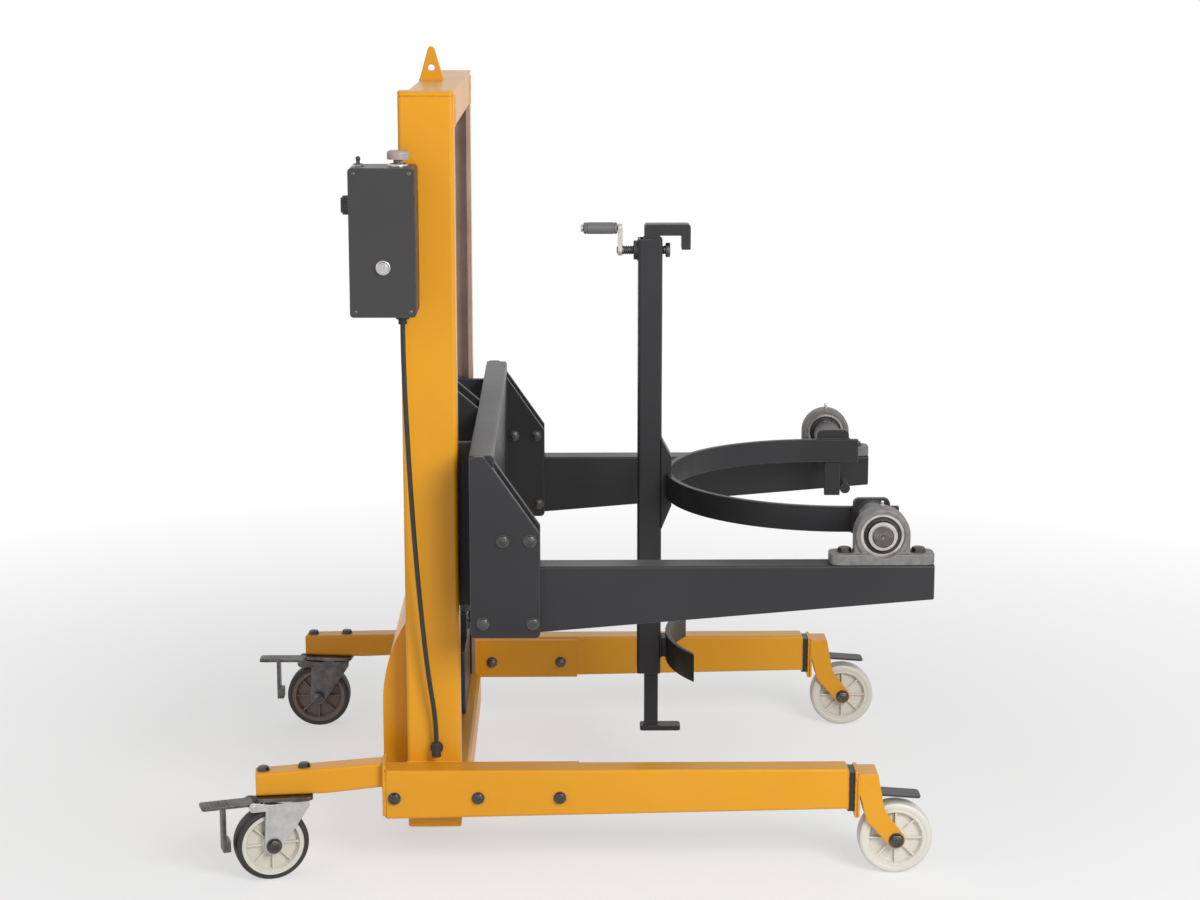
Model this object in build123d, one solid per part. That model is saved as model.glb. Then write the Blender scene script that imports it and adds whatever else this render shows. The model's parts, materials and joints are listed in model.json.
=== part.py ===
from build123d import *
import math
import os

# Drum carrier: a wheeled base with two straddle legs, a mast, a lift carriage with two arms, and
# a tilting cradle hung between the arms. Millimetres, +X to the cradle end, +Y left, +Z up.
# The origin is on the floor under the middle of the machine. Left pieces are built, right ones
# mirrored. A limit pair is (low, high) along one axis.

# Fits
RUNNING = 0.06            # radial clearance of a turning shaft
SLIDING = 0.3             # gap between faces that slide past each other
BOLT_ROOM = 0.2           # radial room of a bolt in its hole
OVER = 1                  # how far a cutting shape runs past the face that it cuts

# Hex bolts, as shares of the thread size
HEX_R = 0.92              # corner radius of heads and nuts
HEAD_HEIGHT = 0.65
NUT_HEIGHT = 0.8
THREAD_TAIL = 1.1         # from the nut's seat to the thread's end

# Legs and mast foot
LEG_IN = 388              # inner face of a leg from the middle plane
LEG_WIDTH = 46
LEG_OUT = LEG_IN + LEG_WIDTH
LEG_MIDDLE = LEG_IN + LEG_WIDTH / 2
LEG_WALL = 4
TUBE_ROUND = 5            # outside corners of legs and outriggers
LEG_REAR = -304
LEG_FRONT = 470
LEG_TOP = 187
LEG_BOTTOM = 102          # at the rear end; the underside rises to the front
LEG_TIP_BOTTOM = 116
FOOT_PLATE_FRONT = 20
FOOT_PLATE_Z = (108, 184)
END_PLATE = 6
END_PLATE_TOP = 198
LEG_BOLT_X = (-290, -150, -13)
LEG_BOLT_Z = 139
LEG_BOLT = 10

# Mast
TRACK_OUT = 376           # outer face of a column from the middle plane
MAST_X = -226
COLUMN_DEPTH = 90
COLUMN_WIDTH = 50
COLUMN_WALL = 8
COLUMN_ROUND = 7
COLUMN_IN = TRACK_OUT - COLUMN_WIDTH
COLUMN_BOTTOM = 68
MAST_TOP = 1309
CAP = 8
TOP_BEAM_BOTTOM = 1249
TOP_BEAM_REAR = -255      # stands back from the columns' rear faces
BEAM_WALL = 5
BEAM_ROUND = 6
CROSSBEAM_TOP = 130
CROSSBEAM_FRONT = -171     # stands forward of the columns
MAST_REAR = MAST_X - COLUMN_DEPTH / 2
MAST_FRONT = MAST_X + COLUMN_DEPTH / 2
TIE = (380, 410)
TIE_THICK = 8
LUG_X = -235
LUG_BASE = 40
LUG_TIP = 1367
LUG_TIP_R = 6
LUG_FOOT = 4              # upright part of the lug's sides
LUG_THICK = 12
LUG_HOLE_Z = 1330
LUG_HOLE = 12

# Rear cover
COVER_HALF = 320
COVER_REAR = -315
COVER_BEND_Z = 270       # the rear face curves forward from here up
COVER_BOTTOM = 64
COVER_LIP = 5
COVER_SHEET = 2
COVER_ROUND = 3

# Rear outriggers and casters
OUTRIGGER_SPLAY = 6.7     # degrees outward
OUTRIGGER_ROOT_Y = 400
OUTRIGGER_END = -522
OUTRIGGER_WIDTH = 40
OUTRIGGER_BOTTOM = 147    # level over the caster plate
OUTRIGGER_ROOT_Z = (154, 196)
OUTRIGGER_END_TOP = 186
OUTRIGGER_LEVEL = 117     # length of the level part under the tube, from the free end
OUTRIGGER_ROOT = LEG_REAR - END_PLATE
WHEEL_R = 62.5
WHEEL_WIDTH = 36
HUB_WIDTH = 40
HUB_R = 16
RIM_DEPTH = 16
WEB_INSET = 7             # from the rim's side in to the web
WEB_SLOPE = 3.5
TREAD_ROUND = 5
AXLE = 12
CASTER_X = -475
CASTER_TRAIL = 25
CASTER_PLATE = (94, 70, 6)
CASTER_PLATE_ROUND = 10
CASTER_BOLT = 10
CASTER_BOLT_HALF = 34     # half the distance between the two plate bolts
HUB_GAP = 0.5
CHEEK_IN = HUB_WIDTH / 2 + HUB_GAP
CROWN = (130, 135)
CROWN_HALF = 37
AXLE_EAR_R = 15
CASTER_CHEEK = 4
KING_PIN_R = 8
KING_HEAD_R = 12
KING_PIN_BOTTOM = 125.5
RACE_R = 25
BRAKE_PIN = (-57, 132)    # X and Z from the swivel axis and the floor
BRAKE_PIN_R = 4
BRAKE_EAR_R = 8
RIVET_TAIL = 2
PEDAL_LENGTH = 85
PEDAL_Z = (133, 138)
PEDAL_ROUND = 6
PEDAL_TUBE = 3            # wall of the tube round the pin
SHOE_LEG_X = (-51, -45)   # from the pin
SHOE_THICK = 7
SHOE_Z = (56, 76)
SHOE_INSET = 4
RIGHT_SWIVEL = 18         # degrees that the right caster stands turned, its wheel outward

# Front forks
FRONT_AXLE_X = 553
FLANGE_THICK = 12
FORK_CHEEK = 6            # also the fork's back plate
FORK_FLANGE = (LEG_FRONT, LEG_FRONT + FLANGE_THICK)
FORK_BACK = (FORK_FLANGE[1], FORK_FLANGE[1] + FORK_CHEEK)
FORK_LID = 5
FORK_BACK_Z = (102, 183)
FORK_FLANGE_Z = (112, 181)
FORK_MARGIN = 2           # back plate wider, flange narrower than the leg
FORK_TOP = 179
FORK_TOP_FRONT = 520
FORK_BEND = (517, 106)
FORK_BEND_R = 17
FORK_END_R = 15
GUARD_THICK = 4
GUARD_ROUND = 8
GUARD_REAR_TOP = 145
GUARD_TIP = (594, 137)

# Hydraulic lift
BARREL_R = 30
BARREL_BORE_R = 25
BARREL_TOP = 640
BARREL_FLOOR = 12
GLAND_R = 33
GLAND_TOP = 668
GLAND_CHAMFER = 3
RAM_R = 20
RAM_FOOT = 255
PISTON_HEIGHT = 25
PISTON_R = BARREL_BORE_R - BOLT_ROOM
RAM_HEAD = (785, 832)
RAM_HEAD_HALF = 24
RAM_HEAD_ROUND = 14
RAM_PIN_TAIL = 5
RAM_PIN_R = 12
RAM_PIN_Z = 808
PORT_Z = 165
PORT_END = 38
PORT_R = 11
PIPE_R = 4
PIPE_Y = 49
PIPE_Z = 275
PIPE_BEND = 8
BATTERY = ((-304, -200), (-290, -70), (CROSSBEAM_TOP, 300))
TANK = ((-306, -190), (60, 290), (CROSSBEAM_TOP, 250))
PUMP = ((-250, -190), (150, 230), (250, 300))
MOTOR_R = 38
MOTOR_TOP = 405
MOTOR_CHAMFER = 5
BATTERY_ROUND = 5
BATTERY_LID = 6
POST_R = 8
POST_HEIGHT = 18
POST_INSET = (22, 30)     # from the front and from each end
TANK_ROUND = 8
FILLER_R = 14
FILLER_HEIGHT = 14
FILLER_INSET = (30, 28)

# Lift carriage
CARRIAGE_REAR = -158
CARRIAGE_FRONT = -118
CARRIAGE_HALF = 472
CARRIAGE_BOTTOM = 434
CARRIAGE_TOP = 732
CARRIAGE_WALL = 8
CARRIAGE_ROUND = 6
ROLLER_PLATE = (308, 320)
ROLLER_GAP = 0.5
ROLLER_R = COLUMN_DEPTH / 2 - COLUMN_WALL - ROLLER_GAP
ROLLER_Y = (334, 364)
ROLLER_Z = (470, 690)
STUB_R = 12
STUB_SHOULDER = 6
ROLLER_PLATE_ROUND = 25
ROLLER_CHAMFER = 2
BACK_PLATE_REAR = -256    # rear edge of roller plates and ram cheeks
RAM_CHEEK = (36, 46)
RAM_CHEEK_TOP = 842
RAM_CHEEK_ROUND = 12
RAM_CHEEK_STEP = (-200, 768)   # the ram cheeks' front edge steps back to here above the carriage
ARM_WIDTH = 50
ARM_OUT = CARRIAGE_HALF
ARM_IN = ARM_OUT - ARM_WIDTH
ARM_MIDDLE = ARM_OUT - ARM_WIDTH / 2
ARM_TOP = 547
ARM_BOTTOM = 430          # at the carriage; the underside rises to the tip
ARM_TIP = 600
ARM_TIP_BOTTOM = 489
ARM_WALL = 5
ARM_ROUND = 4
BRACKET = 12
BRACKET_ROUND = 8
BRACKET_FRONT = -44
BRACKET_SLOPE = ((-133, CARRIAGE_TOP), (BRACKET_FRONT, 604))
ARM_BOLT = 10
UPPER_BOLTS = ((-104, 593), (-60, 593))
ARM_BOLT_AT = (-56, 455)
END_BOLT_AT = (-137, 455)
SPACER_R = 12

# Tilt bearings
PIVOT_X = 515
BLOCK_HEIGHT = 47.6
PIVOT_Z = ARM_TOP + BLOCK_HEIGHT
BLOCK_HALF = 86
BLOCK_WIDTH = 48
BLOCK_FOOT = 18
BLOCK_R = 46
BLOCK_BORE_R = 36
BLOCK_ROUND = 14
HUMP_HALF = 14
BEARING_HALF = 18
BEARING_SEAT_R = 44
OUTER_RING_HALF = 13
BLOCK_BOLT = 12
BLOCK_BOLT_HALF = 60.5
SHAFT_R = 17.5
SHAFT_END = 475
SHOULDER_R = 26
INNER_RING_R = 24
INNER_RING = (425, 469)
SHAFT_CHAMFER = 2

# Tilting cradle
CRADLE_X = 478            # upright axis of the cradle
HOOP_R = 290
HOOP_THICK = 10
HOOP_OUT_R = HOOP_R + HOOP_THICK
HOOP_Z = (563, 607)
HOOP_END = 563
TRUNNION_PLATE = 12
TRUNNION_X = (484, 546)
TRUNNION_Z = (563, 624)
TRUNNION_ROUND = 10
STOP_TAB_X = (500, 530)
STOP_TAB_BOTTOM = 495
STOP_R = 10
STOP_GAP = 2              # from the hoop to the stop pin's end
STOP_Z = 508
SPINE_X = (128, 171)
SPINE_HALF = 22
SPINE_WALL = 4
SPINE_ROUND = 5
SPINE_Z = (232, 1030)
GUIDE_TOP = 300
SADDLE_HALF = 25
SADDLE_REAR_Z = (505, 670)
SADDLE_FRONT_Z = (555, 631)
SADDLE_LAP = 4            # past the hoop's inner face, before it is hollowed
LOW_PAD_R = 298
LOW_PAD_Z = (256, 306)
LOW_PAD_EDGE = 225
LOW_STEM_HALF = 18
LOW_STEM_INSET = 7
HOOK_TOP = 1056
HOOK_THICK = 20
HOOK_FRONT = 221
HOOK_LIP = 16
HOOK_LIP_BOTTOM = 1011
HOOK_HALF = 17.8
SHANK_X = (139, 166.8)
SHANK_BOTTOM = 940
HOOK_ROUND = 6

# Clamp screw and crank
SCREW_Z = 1009
SCREW_R = 8
SCREW_TAIL_R = 6
SCREW_TIP_R = 5
BOSS = (120, SPINE_X[0])
BOSS_R = 17
PAD_X = (177, 185)
PAD_R = 13
PAD_CHAMFER = 1
PAD_SOCKET = 5
CRANK_X = (92, 100)
CRANK_RADIUS = 39
CRANK_HUB_R = 10
CRANK_END_R = 8
GRIP_X = (31, 91)
GRIP_R = 10.5
GRIP_PIN_R = 4
GRIP_PIN_HEAD_R = 6.5
GRIP_PIN_TAIL = 5
GRIP_ROUND = 3

# Sliding foot bar
FOOT_BAR_X = (141.6, 166.6)
FOOT_BAR_HALF = 12.5
FOOT_BAR_TOP = 480
FOOT_X = (134, 208)
FOOT_HALF = 16
FOOT_Z = (121, 130)
FOOT_ROUND = 6
LOCK_AT = (154, 262)
LOCK_STUD_R = 5
LOCK_KNOB_R = 14
LOCK_KNOB_Y = (34, 52)
LOCK_LOBES = 6
LOCK_LOBE_R = 5

# Control box on the right column
BOX_X = (-345, -239)
BOX_Y = (-466, -384)
BOX_Z = (956, 1194)
BOX_WALL = 3
BOX_COVER = 3
BOX_CORNER = 6
BOX_PAD_Z = (1000, 1150)
CONTROL_Y = -428
KEY_AT = (-291, 1036)
KEY_R = 9
KEY_FACE = -478
KEY_DEPTH = 8
KEY_BAR = (2, 5, 7)       # half width, height and half length
BUTTON_X = -267
BUTTON_STEM_R = 8
BUTTON_R = 18
BUTTON_Z = (1205, 1219)
LEVER_X = -331
LEVER_R = 3
LEVER_TOP = 1210
COLLAR = 4                # height of the collars on the box's top
BUTTON_COLLAR_R = 14
LEVER_COLLAR_R = 8
LEVER_HOLE_R = 5.5
LEVER_BALL_R = 4
LEVER_PIVOT_Z = 1195
LEVER_PIN = (1.5, 4.8)    # radius and half length of its pivot pin
LEVER_FOOT = 4            # depth of the lever below the box's top
BUTTON_ROUND = 5
BUTTON_FOOT = 12
KNOB_Z = 1132
KNOB_R = 15
KNOB_X = (-357, -346)
KNOB_STUD_R = 4
KNOB_STUD = 10
KNOB_RIB = (2, 3, 12)     # half width, height and half length

# Control cable, from the box gland down to the elbow on the column
CABLE = 8
CABLE_R = CABLE / 2
ARC_SHARE = 0.45          # of the shorter run at a corner, taken up by its arc
GLAND_HEX_R = 11
GLAND_HEX = 8
GLAND_NECK_R = 7
BOOT_R = 8
BOOT_FLANGE = (11, 4)     # radius and thickness
GLAND_AT = (-264, CONTROL_Y)
GLAND_Z = (940, BOX_Z[0])
ELBOW_X = -221
ELBOW_Y = -390
ELBOW_Z = (198, 222)
CABLE_ROUTE = [
    (-264, -428, 940), (-264, -428, 880), (-260.5, -425, 775), (-256, -420, 665),
    (-250, -413.5, 555), (-242, -406, 445), (-232.5, -398, 340), (-221, -390, 262),
    (-221, -390, 222),
]


# Shared shapes

def block(x, y, z):
    """Box between two limits on each axis."""
    size = [high - low for low, high in (x, y, z)]
    middle = [(low + high) / 2 for low, high in (x, y, z)]
    return Pos(*middle) * Box(*size)


def both(half):
    """Limits of a piece that is centred on the middle plane."""
    return (-half, half)


def rod(axis, centre, radius, low, high):
    """Round bar along an axis, centred on the other two coordinates."""
    direction = {"X": (1, 0, 0), "Y": (0, 1, 0), "Z": (0, 0, 1)}[axis]
    origin = {"X": (low, *centre), "Y": (centre[0], low, centre[1]), "Z": (*centre, low)}[axis]
    bar = Cylinder(radius, high - low, align=(Align.CENTER, Align.CENTER, Align.MIN))
    return Plane(origin, z_dir=direction) * bar


def flat(sketch, y):
    """Plate from a sketch drawn in X and Z, between two Y limits."""
    return Pos(0, y[1], 0) * extrude(Plane.XZ * sketch, amount=y[1] - y[0])


def plate(outline, y):
    """Plate cut to an outline of (X, Z) points, between two Y limits."""
    return flat(make_face(Polyline(*outline, close=True)), y)


def hull(*sketches):
    """Face around several sketches, as a taut belt would run."""
    return make_hull([edge for sketch in sketches for edge in sketch.edges()])


def disc(x, z, radius):
    """Circle in a sketch of X and Z."""
    return Pos(x, z) * Circle(radius)


def strip(x, z):
    """Rectangle in a sketch of X and Z, between limits."""
    middle = Pos((x[0] + x[1]) / 2, (z[0] + z[1]) / 2)
    return middle * Rectangle(x[1] - x[0], z[1] - z[0])


def turned(outline):
    """Piece turned about the Y axis from (radius, Y) points."""
    return revolve(make_face(Polyline(*outline, close=True)), Axis.Y)


def soften(part, axis, radius, keep=None):
    """Rounds the edges along an axis, or those of them that keep picks."""
    edges = part.edges().filter_by(axis)
    return fillet(edges.filter_by(keep) if keep else edges, radius)


def round_long_edges(part, radius):
    """Rounds the edges that run along the machine for most of a piece's length."""
    least = part.bounding_box().size.X / 2
    return fillet(part.edges().filter_by(lambda edge: abs((edge @ 1 - edge @ 0).X) > least), radius)


def top_circle(part, axis):
    """Round edge at a piece's high end."""
    return part.edges().filter_by(GeomType.CIRCLE).sort_by(axis)[-1]


def bolt(head_at, direction, size, grip, nut=True):
    """Hex bolt from under its head; its nut seats past the grip, or it screws into the last piece."""
    hexagon = RegularPolygon(HEX_R * size, 6)
    length = grip + (THREAD_TAIL * size if nut else 0)
    head = Pos(0, 0, -HEAD_HEIGHT * size) * extrude(hexagon, HEAD_HEIGHT * size)
    piece = head + Cylinder(size / 2, length, align=(Align.CENTER, Align.CENTER, Align.MIN))
    if nut:
        piece += Pos(0, 0, grip) * extrude(hexagon, NUT_HEIGHT * size)
    return Plane(head_at, z_dir=direction) * piece


def group(*pieces):
    """Separate solids kept together in one node."""
    return Compound([solid for piece in pieces for solid in piece.solids()])


def right(piece):
    """The right-hand copy of a left-hand piece."""
    return mirror(piece, Plane.XZ)


def pair(piece):
    """A left-hand piece with its right-hand copy."""
    return group(piece, right(piece))


# Base frame

def leg():
    """Straddle leg: a rectangular tube whose underside rises to the front."""
    def outline(wall, overrun):
        return [
            (LEG_REAR - overrun, LEG_BOTTOM + wall),
            (LEG_FRONT + overrun, LEG_TIP_BOTTOM + wall),
            (LEG_FRONT + overrun, LEG_TOP - wall),
            (LEG_REAR - overrun, LEG_TOP - wall),
        ]
    tube = plate(outline(0, 0), (LEG_IN, LEG_OUT))
    tube = round_long_edges(tube, TUBE_ROUND)
    tube -= plate(outline(LEG_WALL, OVER), (LEG_IN + LEG_WALL, LEG_OUT - LEG_WALL))
    for x in LEG_BOLT_X:
        tube -= rod("Y", (x, LEG_BOLT_Z), LEG_BOLT / 2 + BOLT_ROOM, LEG_IN - OVER, LEG_OUT + OVER)
    return tube


def foot_plate():
    """Plate between column and leg, with the end plate that carries the outrigger."""
    side = block((LEG_REAR, FOOT_PLATE_FRONT), (TRACK_OUT, LEG_IN), FOOT_PLATE_Z)
    end = block((OUTRIGGER_ROOT, LEG_REAR), (TRACK_OUT, LEG_OUT), (FOOT_PLATE_Z[0], END_PLATE_TOP))
    part = side + end
    for x in LEG_BOLT_X:
        part -= rod("Y", (x, LEG_BOLT_Z), LEG_BOLT / 2 + BOLT_ROOM, TRACK_OUT - OVER, LEG_IN + OVER)
    return part


def leg_bolts():
    """Three bolts that hold a leg to its foot plate."""
    grip = LEG_OUT - TRACK_OUT
    return [bolt((x, LEG_OUT, LEG_BOLT_Z), (0, -1, 0), LEG_BOLT, grip) for x in LEG_BOLT_X]


SPLAY = math.radians(OUTRIGGER_SPLAY)
OUTRIGGER_LENGTH = (OUTRIGGER_ROOT - OUTRIGGER_END) / math.cos(SPLAY)
CASTER_Y = OUTRIGGER_ROOT_Y + (OUTRIGGER_ROOT - CASTER_X) * math.tan(SPLAY)


def outrigger_plane(x, z):
    """Plane on the outrigger's axis at a given X, with its own X along the tube to the front."""
    y = OUTRIGGER_ROOT_Y + (OUTRIGGER_ROOT - x) * math.tan(SPLAY)
    return Plane((x, y, z), x_dir=(math.cos(SPLAY), -math.sin(SPLAY), 0), z_dir=(0, 0, 1))


def outrigger_top(distance):
    """Height of the outrigger's top at a distance from its free end."""
    return OUTRIGGER_END_TOP + (OUTRIGGER_ROOT_Z[1] - OUTRIGGER_END_TOP) * distance / OUTRIGGER_LENGTH


def outrigger():
    """Splayed tube from the leg's end plate down to the caster, closed at its free end."""
    overrun = OUTRIGGER_LENGTH + OUTRIGGER_WIDTH / 2

    def outline(wall):
        return [
            (wall, OUTRIGGER_BOTTOM + wall),
            (OUTRIGGER_LEVEL, OUTRIGGER_BOTTOM + wall),
            (OUTRIGGER_LENGTH, OUTRIGGER_ROOT_Z[0] + wall),
            (overrun, OUTRIGGER_ROOT_Z[0] + wall),
            (overrun, outrigger_top(overrun) - wall),
            (wall, outrigger_top(wall) - wall),
        ]
    tube = plate(outline(0), both(OUTRIGGER_WIDTH / 2))
    tube = round_long_edges(tube, TUBE_ROUND)
    tube -= plate(outline(LEG_WALL), both(OUTRIGGER_WIDTH / 2 - LEG_WALL))
    tube = outrigger_plane(OUTRIGGER_END, 0) * tube
    tube -= block((OUTRIGGER_ROOT, LEG_FRONT), (0, 2 * LEG_OUT), (0, 2 * LEG_TOP))
    hole = Cylinder(CASTER_BOLT / 2 + BOLT_ROOM, LEG_TOP)
    for side in (-1, 1):
        tube -= outrigger_plane(CASTER_X, OUTRIGGER_BOTTOM) * Pos(side * CASTER_BOLT_HALF) * hole
    return tube


def caster_bolts():
    """Two bolts down through the outrigger, screwed into the caster plate, on washers."""
    centre = outrigger_plane(CASTER_X, 0)
    reach_to_caster = (CASTER_X - OUTRIGGER_END) / math.cos(SPLAY)
    bolts = []
    for side in (-1, 1):
        seat = outrigger_top(reach_to_caster + side * CASTER_BOLT_HALF + CASTER_BOLT)
        place = (centre * Pos(side * CASTER_BOLT_HALF, 0, seat)).position
        grip = seat - OUTRIGGER_BOTTOM + CASTER_PLATE[2]
        bolts.append(bolt(place, (0, 0, -1), CASTER_BOLT, grip, nut=False))
    return bolts


def column(right_side=False):
    """Mast channel, open to the middle; the right one has the cable hole."""
    x = (MAST_REAR, MAST_FRONT)
    channel = block(x, (COLUMN_IN, TRACK_OUT), (COLUMN_BOTTOM, MAST_TOP - CAP))
    inside = (MAST_REAR + COLUMN_WALL, MAST_FRONT - COLUMN_WALL)
    room = (COLUMN_BOTTOM - OVER, MAST_TOP)
    channel -= block(inside, (COLUMN_IN - OVER, TRACK_OUT - COLUMN_WALL), room)
    channel = soften(channel, Axis.Z, COLUMN_ROUND, lambda edge: edge.center().Y > TRACK_OUT - OVER)
    if not right_side:
        return channel
    middle = sum(ELBOW_Z) / 2
    hole = rod("Y", (ELBOW_X, middle), BOOT_R + RUNNING, COLUMN_IN, TRACK_OUT + OVER)
    return right(channel - hole)


def top_beam():
    """Tube between the column tops, under a cap plate that closes both columns."""
    thick = (MAST_TOP - CAP, MAST_TOP)
    cap = block((MAST_REAR, MAST_FRONT), both(TRACK_OUT), thick)
    cap -= block((MAST_REAR, TOP_BEAM_REAR), both(COLUMN_IN), thick)
    cap = soften(cap, Axis.Z, COLUMN_ROUND)
    beam = block((TOP_BEAM_REAR, MAST_FRONT), both(COLUMN_IN), (TOP_BEAM_BOTTOM, MAST_TOP - CAP))
    inside = (TOP_BEAM_REAR + BEAM_WALL, MAST_FRONT - BEAM_WALL)
    room = (TOP_BEAM_BOTTOM + BEAM_WALL, MAST_TOP - CAP - BEAM_WALL)
    return cap + (beam - block(inside, both(COLUMN_IN + OVER), room))


def lifting_lug():
    """Drilled lug on top of the mast."""
    tip = disc(LUG_X, LUG_TIP - LUG_TIP_R, LUG_TIP_R)
    base = strip((LUG_X - LUG_BASE / 2, LUG_X + LUG_BASE / 2), (MAST_TOP, MAST_TOP + LUG_FOOT))
    face = hull(tip, base) - disc(LUG_X, LUG_HOLE_Z, LUG_HOLE / 2)
    return flat(face, both(LUG_THICK / 2))


def cross_members():
    """Cross beam at the mast foot, and the tie that the rear cover's top meets."""
    beam = block((MAST_REAR, CROSSBEAM_FRONT), both(COLUMN_IN), (COLUMN_BOTTOM, CROSSBEAM_TOP))
    beam = soften(beam, Axis.Y, BEAM_ROUND)
    inside = (MAST_REAR + BEAM_WALL, CROSSBEAM_FRONT - BEAM_WALL)
    room = (COLUMN_BOTTOM + BEAM_WALL, CROSSBEAM_TOP - BEAM_WALL)
    beam -= block(inside, both(COLUMN_IN + OVER), room)
    tie = block((MAST_REAR, MAST_REAR + TIE_THICK), both(COLUMN_IN), TIE)
    return group(beam, tie)


def rear_cover():
    """Sheet cover over the power pack, rolled forward to the tie at its top and open to the mast."""
    def profile(wall, overrun):
        front = MAST_REAR + overrun
        shoulder = (COVER_REAR + wall, COVER_BEND_Z)
        lip = (MAST_REAR - COVER_LIP + wall, TIE[1] - wall)
        foot = (COVER_REAR + wall, COVER_BOTTOM + wall)
        curve = TangentArc(shoulder, lip, tangent=(0, 1))
        return make_face(curve + Polyline(lip, (front, lip[1]), (front, foot[1]), foot, shoulder))
    shell = flat(profile(0, 0), both(COVER_HALF))
    shell = soften(shell, Axis.Y, COVER_ROUND, lambda edge: edge.center().X < COVER_REAR + OVER
                   and edge.center().Z < COVER_BEND_Z - OVER)
    return shell - flat(profile(COVER_SHEET, OVER), both(COVER_HALF - COVER_SHEET))


# Wheels and casters

def wheel():
    """Plain nylon wheel with a dished web, turned about Y at the origin."""
    hub = HUB_WIDTH / 2
    half = WHEEL_WIDTH / 2
    web = half - WEB_INSET
    rim = WHEEL_R - RIM_DEPTH
    side = [
        (AXLE / 2 + RUNNING, hub), (HUB_R, hub), (HUB_R + WEB_SLOPE, web), (rim - WEB_SLOPE, web),
        (rim, half), (WHEEL_R - TREAD_ROUND, half), (WHEEL_R, half - TREAD_ROUND),
    ]
    other = [(radius, -y) for radius, y in reversed(side)]
    return turned(side + other)


def caster_plate():
    """Top plate of a caster with its king pin."""
    length, width, thick = CASTER_PLATE
    top = Box(length, width, thick, align=(Align.CENTER, Align.CENTER, Align.MAX))
    top = soften(top, Axis.Z, CASTER_PLATE_ROUND)
    for side in (-1, 1):
        top -= Pos(side * CASTER_BOLT_HALF) * Cylinder(CASTER_BOLT / 2 + BOLT_ROOM, 4 * thick)
    top = outrigger_plane(CASTER_X, OUTRIGGER_BOTTOM) * top
    centre = (CASTER_X, CASTER_Y)
    pin = rod("Z", centre, KING_PIN_R, KING_PIN_BOTTOM, OUTRIGGER_BOTTOM - thick)
    head = rod("Z", centre, KING_HEAD_R, KING_PIN_BOTTOM, CROWN[0] - SLIDING)
    return top + pin + head


def caster_fork():
    """Swivel fork with its axle bolt and the brake's rivet, about the swivel axis at the origin."""
    axle_x = -CASTER_TRAIL
    crown_x = both(CROWN_HALF)
    inner = CHEEK_IN
    outer = CHEEK_IN + CASTER_CHEEK
    shoulder = strip((-CROWN_HALF, -CROWN_HALF + BRAKE_EAR_R), (BRAKE_PIN[1] - BRAKE_EAR_R, CROWN[1]))
    cheek = hull(disc(axle_x, WHEEL_R, AXLE_EAR_R), strip(crown_x, (CROWN[0] - CASTER_CHEEK, CROWN[1])))
    cheek += hull(disc(*BRAKE_PIN, BRAKE_EAR_R), shoulder)
    cheek -= disc(axle_x, WHEEL_R, AXLE / 2 + BOLT_ROOM)
    fork = flat(cheek, (inner, outer)) + flat(cheek, (-outer, -inner))
    fork += block(crown_x, both(outer), CROWN)
    race_top = OUTRIGGER_BOTTOM - CASTER_PLATE[2] - SLIDING
    fork += rod("Z", (0, 0), RACE_R, CROWN[0], race_top)
    fork -= rod("Z", (0, 0), KING_PIN_R + RUNNING, CROWN[0] - OVER, race_top + OVER)
    fork += rod("Y", BRAKE_PIN, BRAKE_PIN_R, -outer - RIVET_TAIL, outer + RIVET_TAIL)
    axle = bolt((axle_x, outer, WHEEL_R), (0, -1, 0), AXLE, 2 * outer)
    return group(fork, axle)


def brake_pedal():
    """Foot pedal with the shoe that presses on the tread, about the swivel axis."""
    pin_x = BRAKE_PIN[0]
    half = WHEEL_WIDTH / 2
    pedal = block((pin_x - PEDAL_LENGTH, pin_x), both(half), PEDAL_Z)
    pedal = soften(pedal, Axis.Z, PEDAL_ROUND, lambda edge: edge.center().X < pin_x - OVER)
    pedal += rod("Y", BRAKE_PIN, BRAKE_PIN_R + PEDAL_TUBE, -half, half)
    leg_x = (pin_x + SHOE_LEG_X[0], pin_x + SHOE_LEG_X[1])
    pedal += block(leg_x, both(half - SHOE_INSET), (SHOE_Z[0], PEDAL_Z[1]))
    pedal += block((leg_x[1], leg_x[1] + SHOE_THICK), both(half - SHOE_INSET), SHOE_Z)
    return pedal - rod("Y", BRAKE_PIN, BRAKE_PIN_R + RUNNING, -half - OVER, half + OVER)


def at_caster(piece):
    """Left and right copies of a caster piece that is built about its swivel axis."""
    left_copy = Pos(CASTER_X, CASTER_Y, 0) * piece
    right_copy = Pos(CASTER_X, -CASTER_Y, 0) * Rot(0, 0, RIGHT_SWIVEL) * right(piece)
    return left_copy, right_copy


def front_fork():
    """Dog-legged fork on the leg's end."""
    fork = block(FORK_BACK, (LEG_IN - FORK_MARGIN, LEG_OUT + FORK_MARGIN), FORK_BACK_Z)
    bend = disc(*FORK_BEND, FORK_BEND_R)
    end = disc(FRONT_AXLE_X, WHEEL_R, FORK_END_R)
    lid_x = (FORK_BACK[0], FORK_TOP_FRONT)
    lid_z = (FORK_TOP - FORK_LID, FORK_TOP)
    cheek = hull(strip(lid_x, lid_z), bend) + hull(bend, end)
    cheek -= disc(FRONT_AXLE_X, WHEEL_R, AXLE / 2 + BOLT_ROOM)
    inner = CHEEK_IN
    outer = CHEEK_IN + FORK_CHEEK
    for low, high in ((inner, outer), (-outer, -inner)):
        fork += flat(cheek, (LEG_MIDDLE + low, LEG_MIDDLE + high))
    return fork + block(lid_x, (LEG_MIDDLE - inner, LEG_MIDDLE + inner), lid_z)


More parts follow.
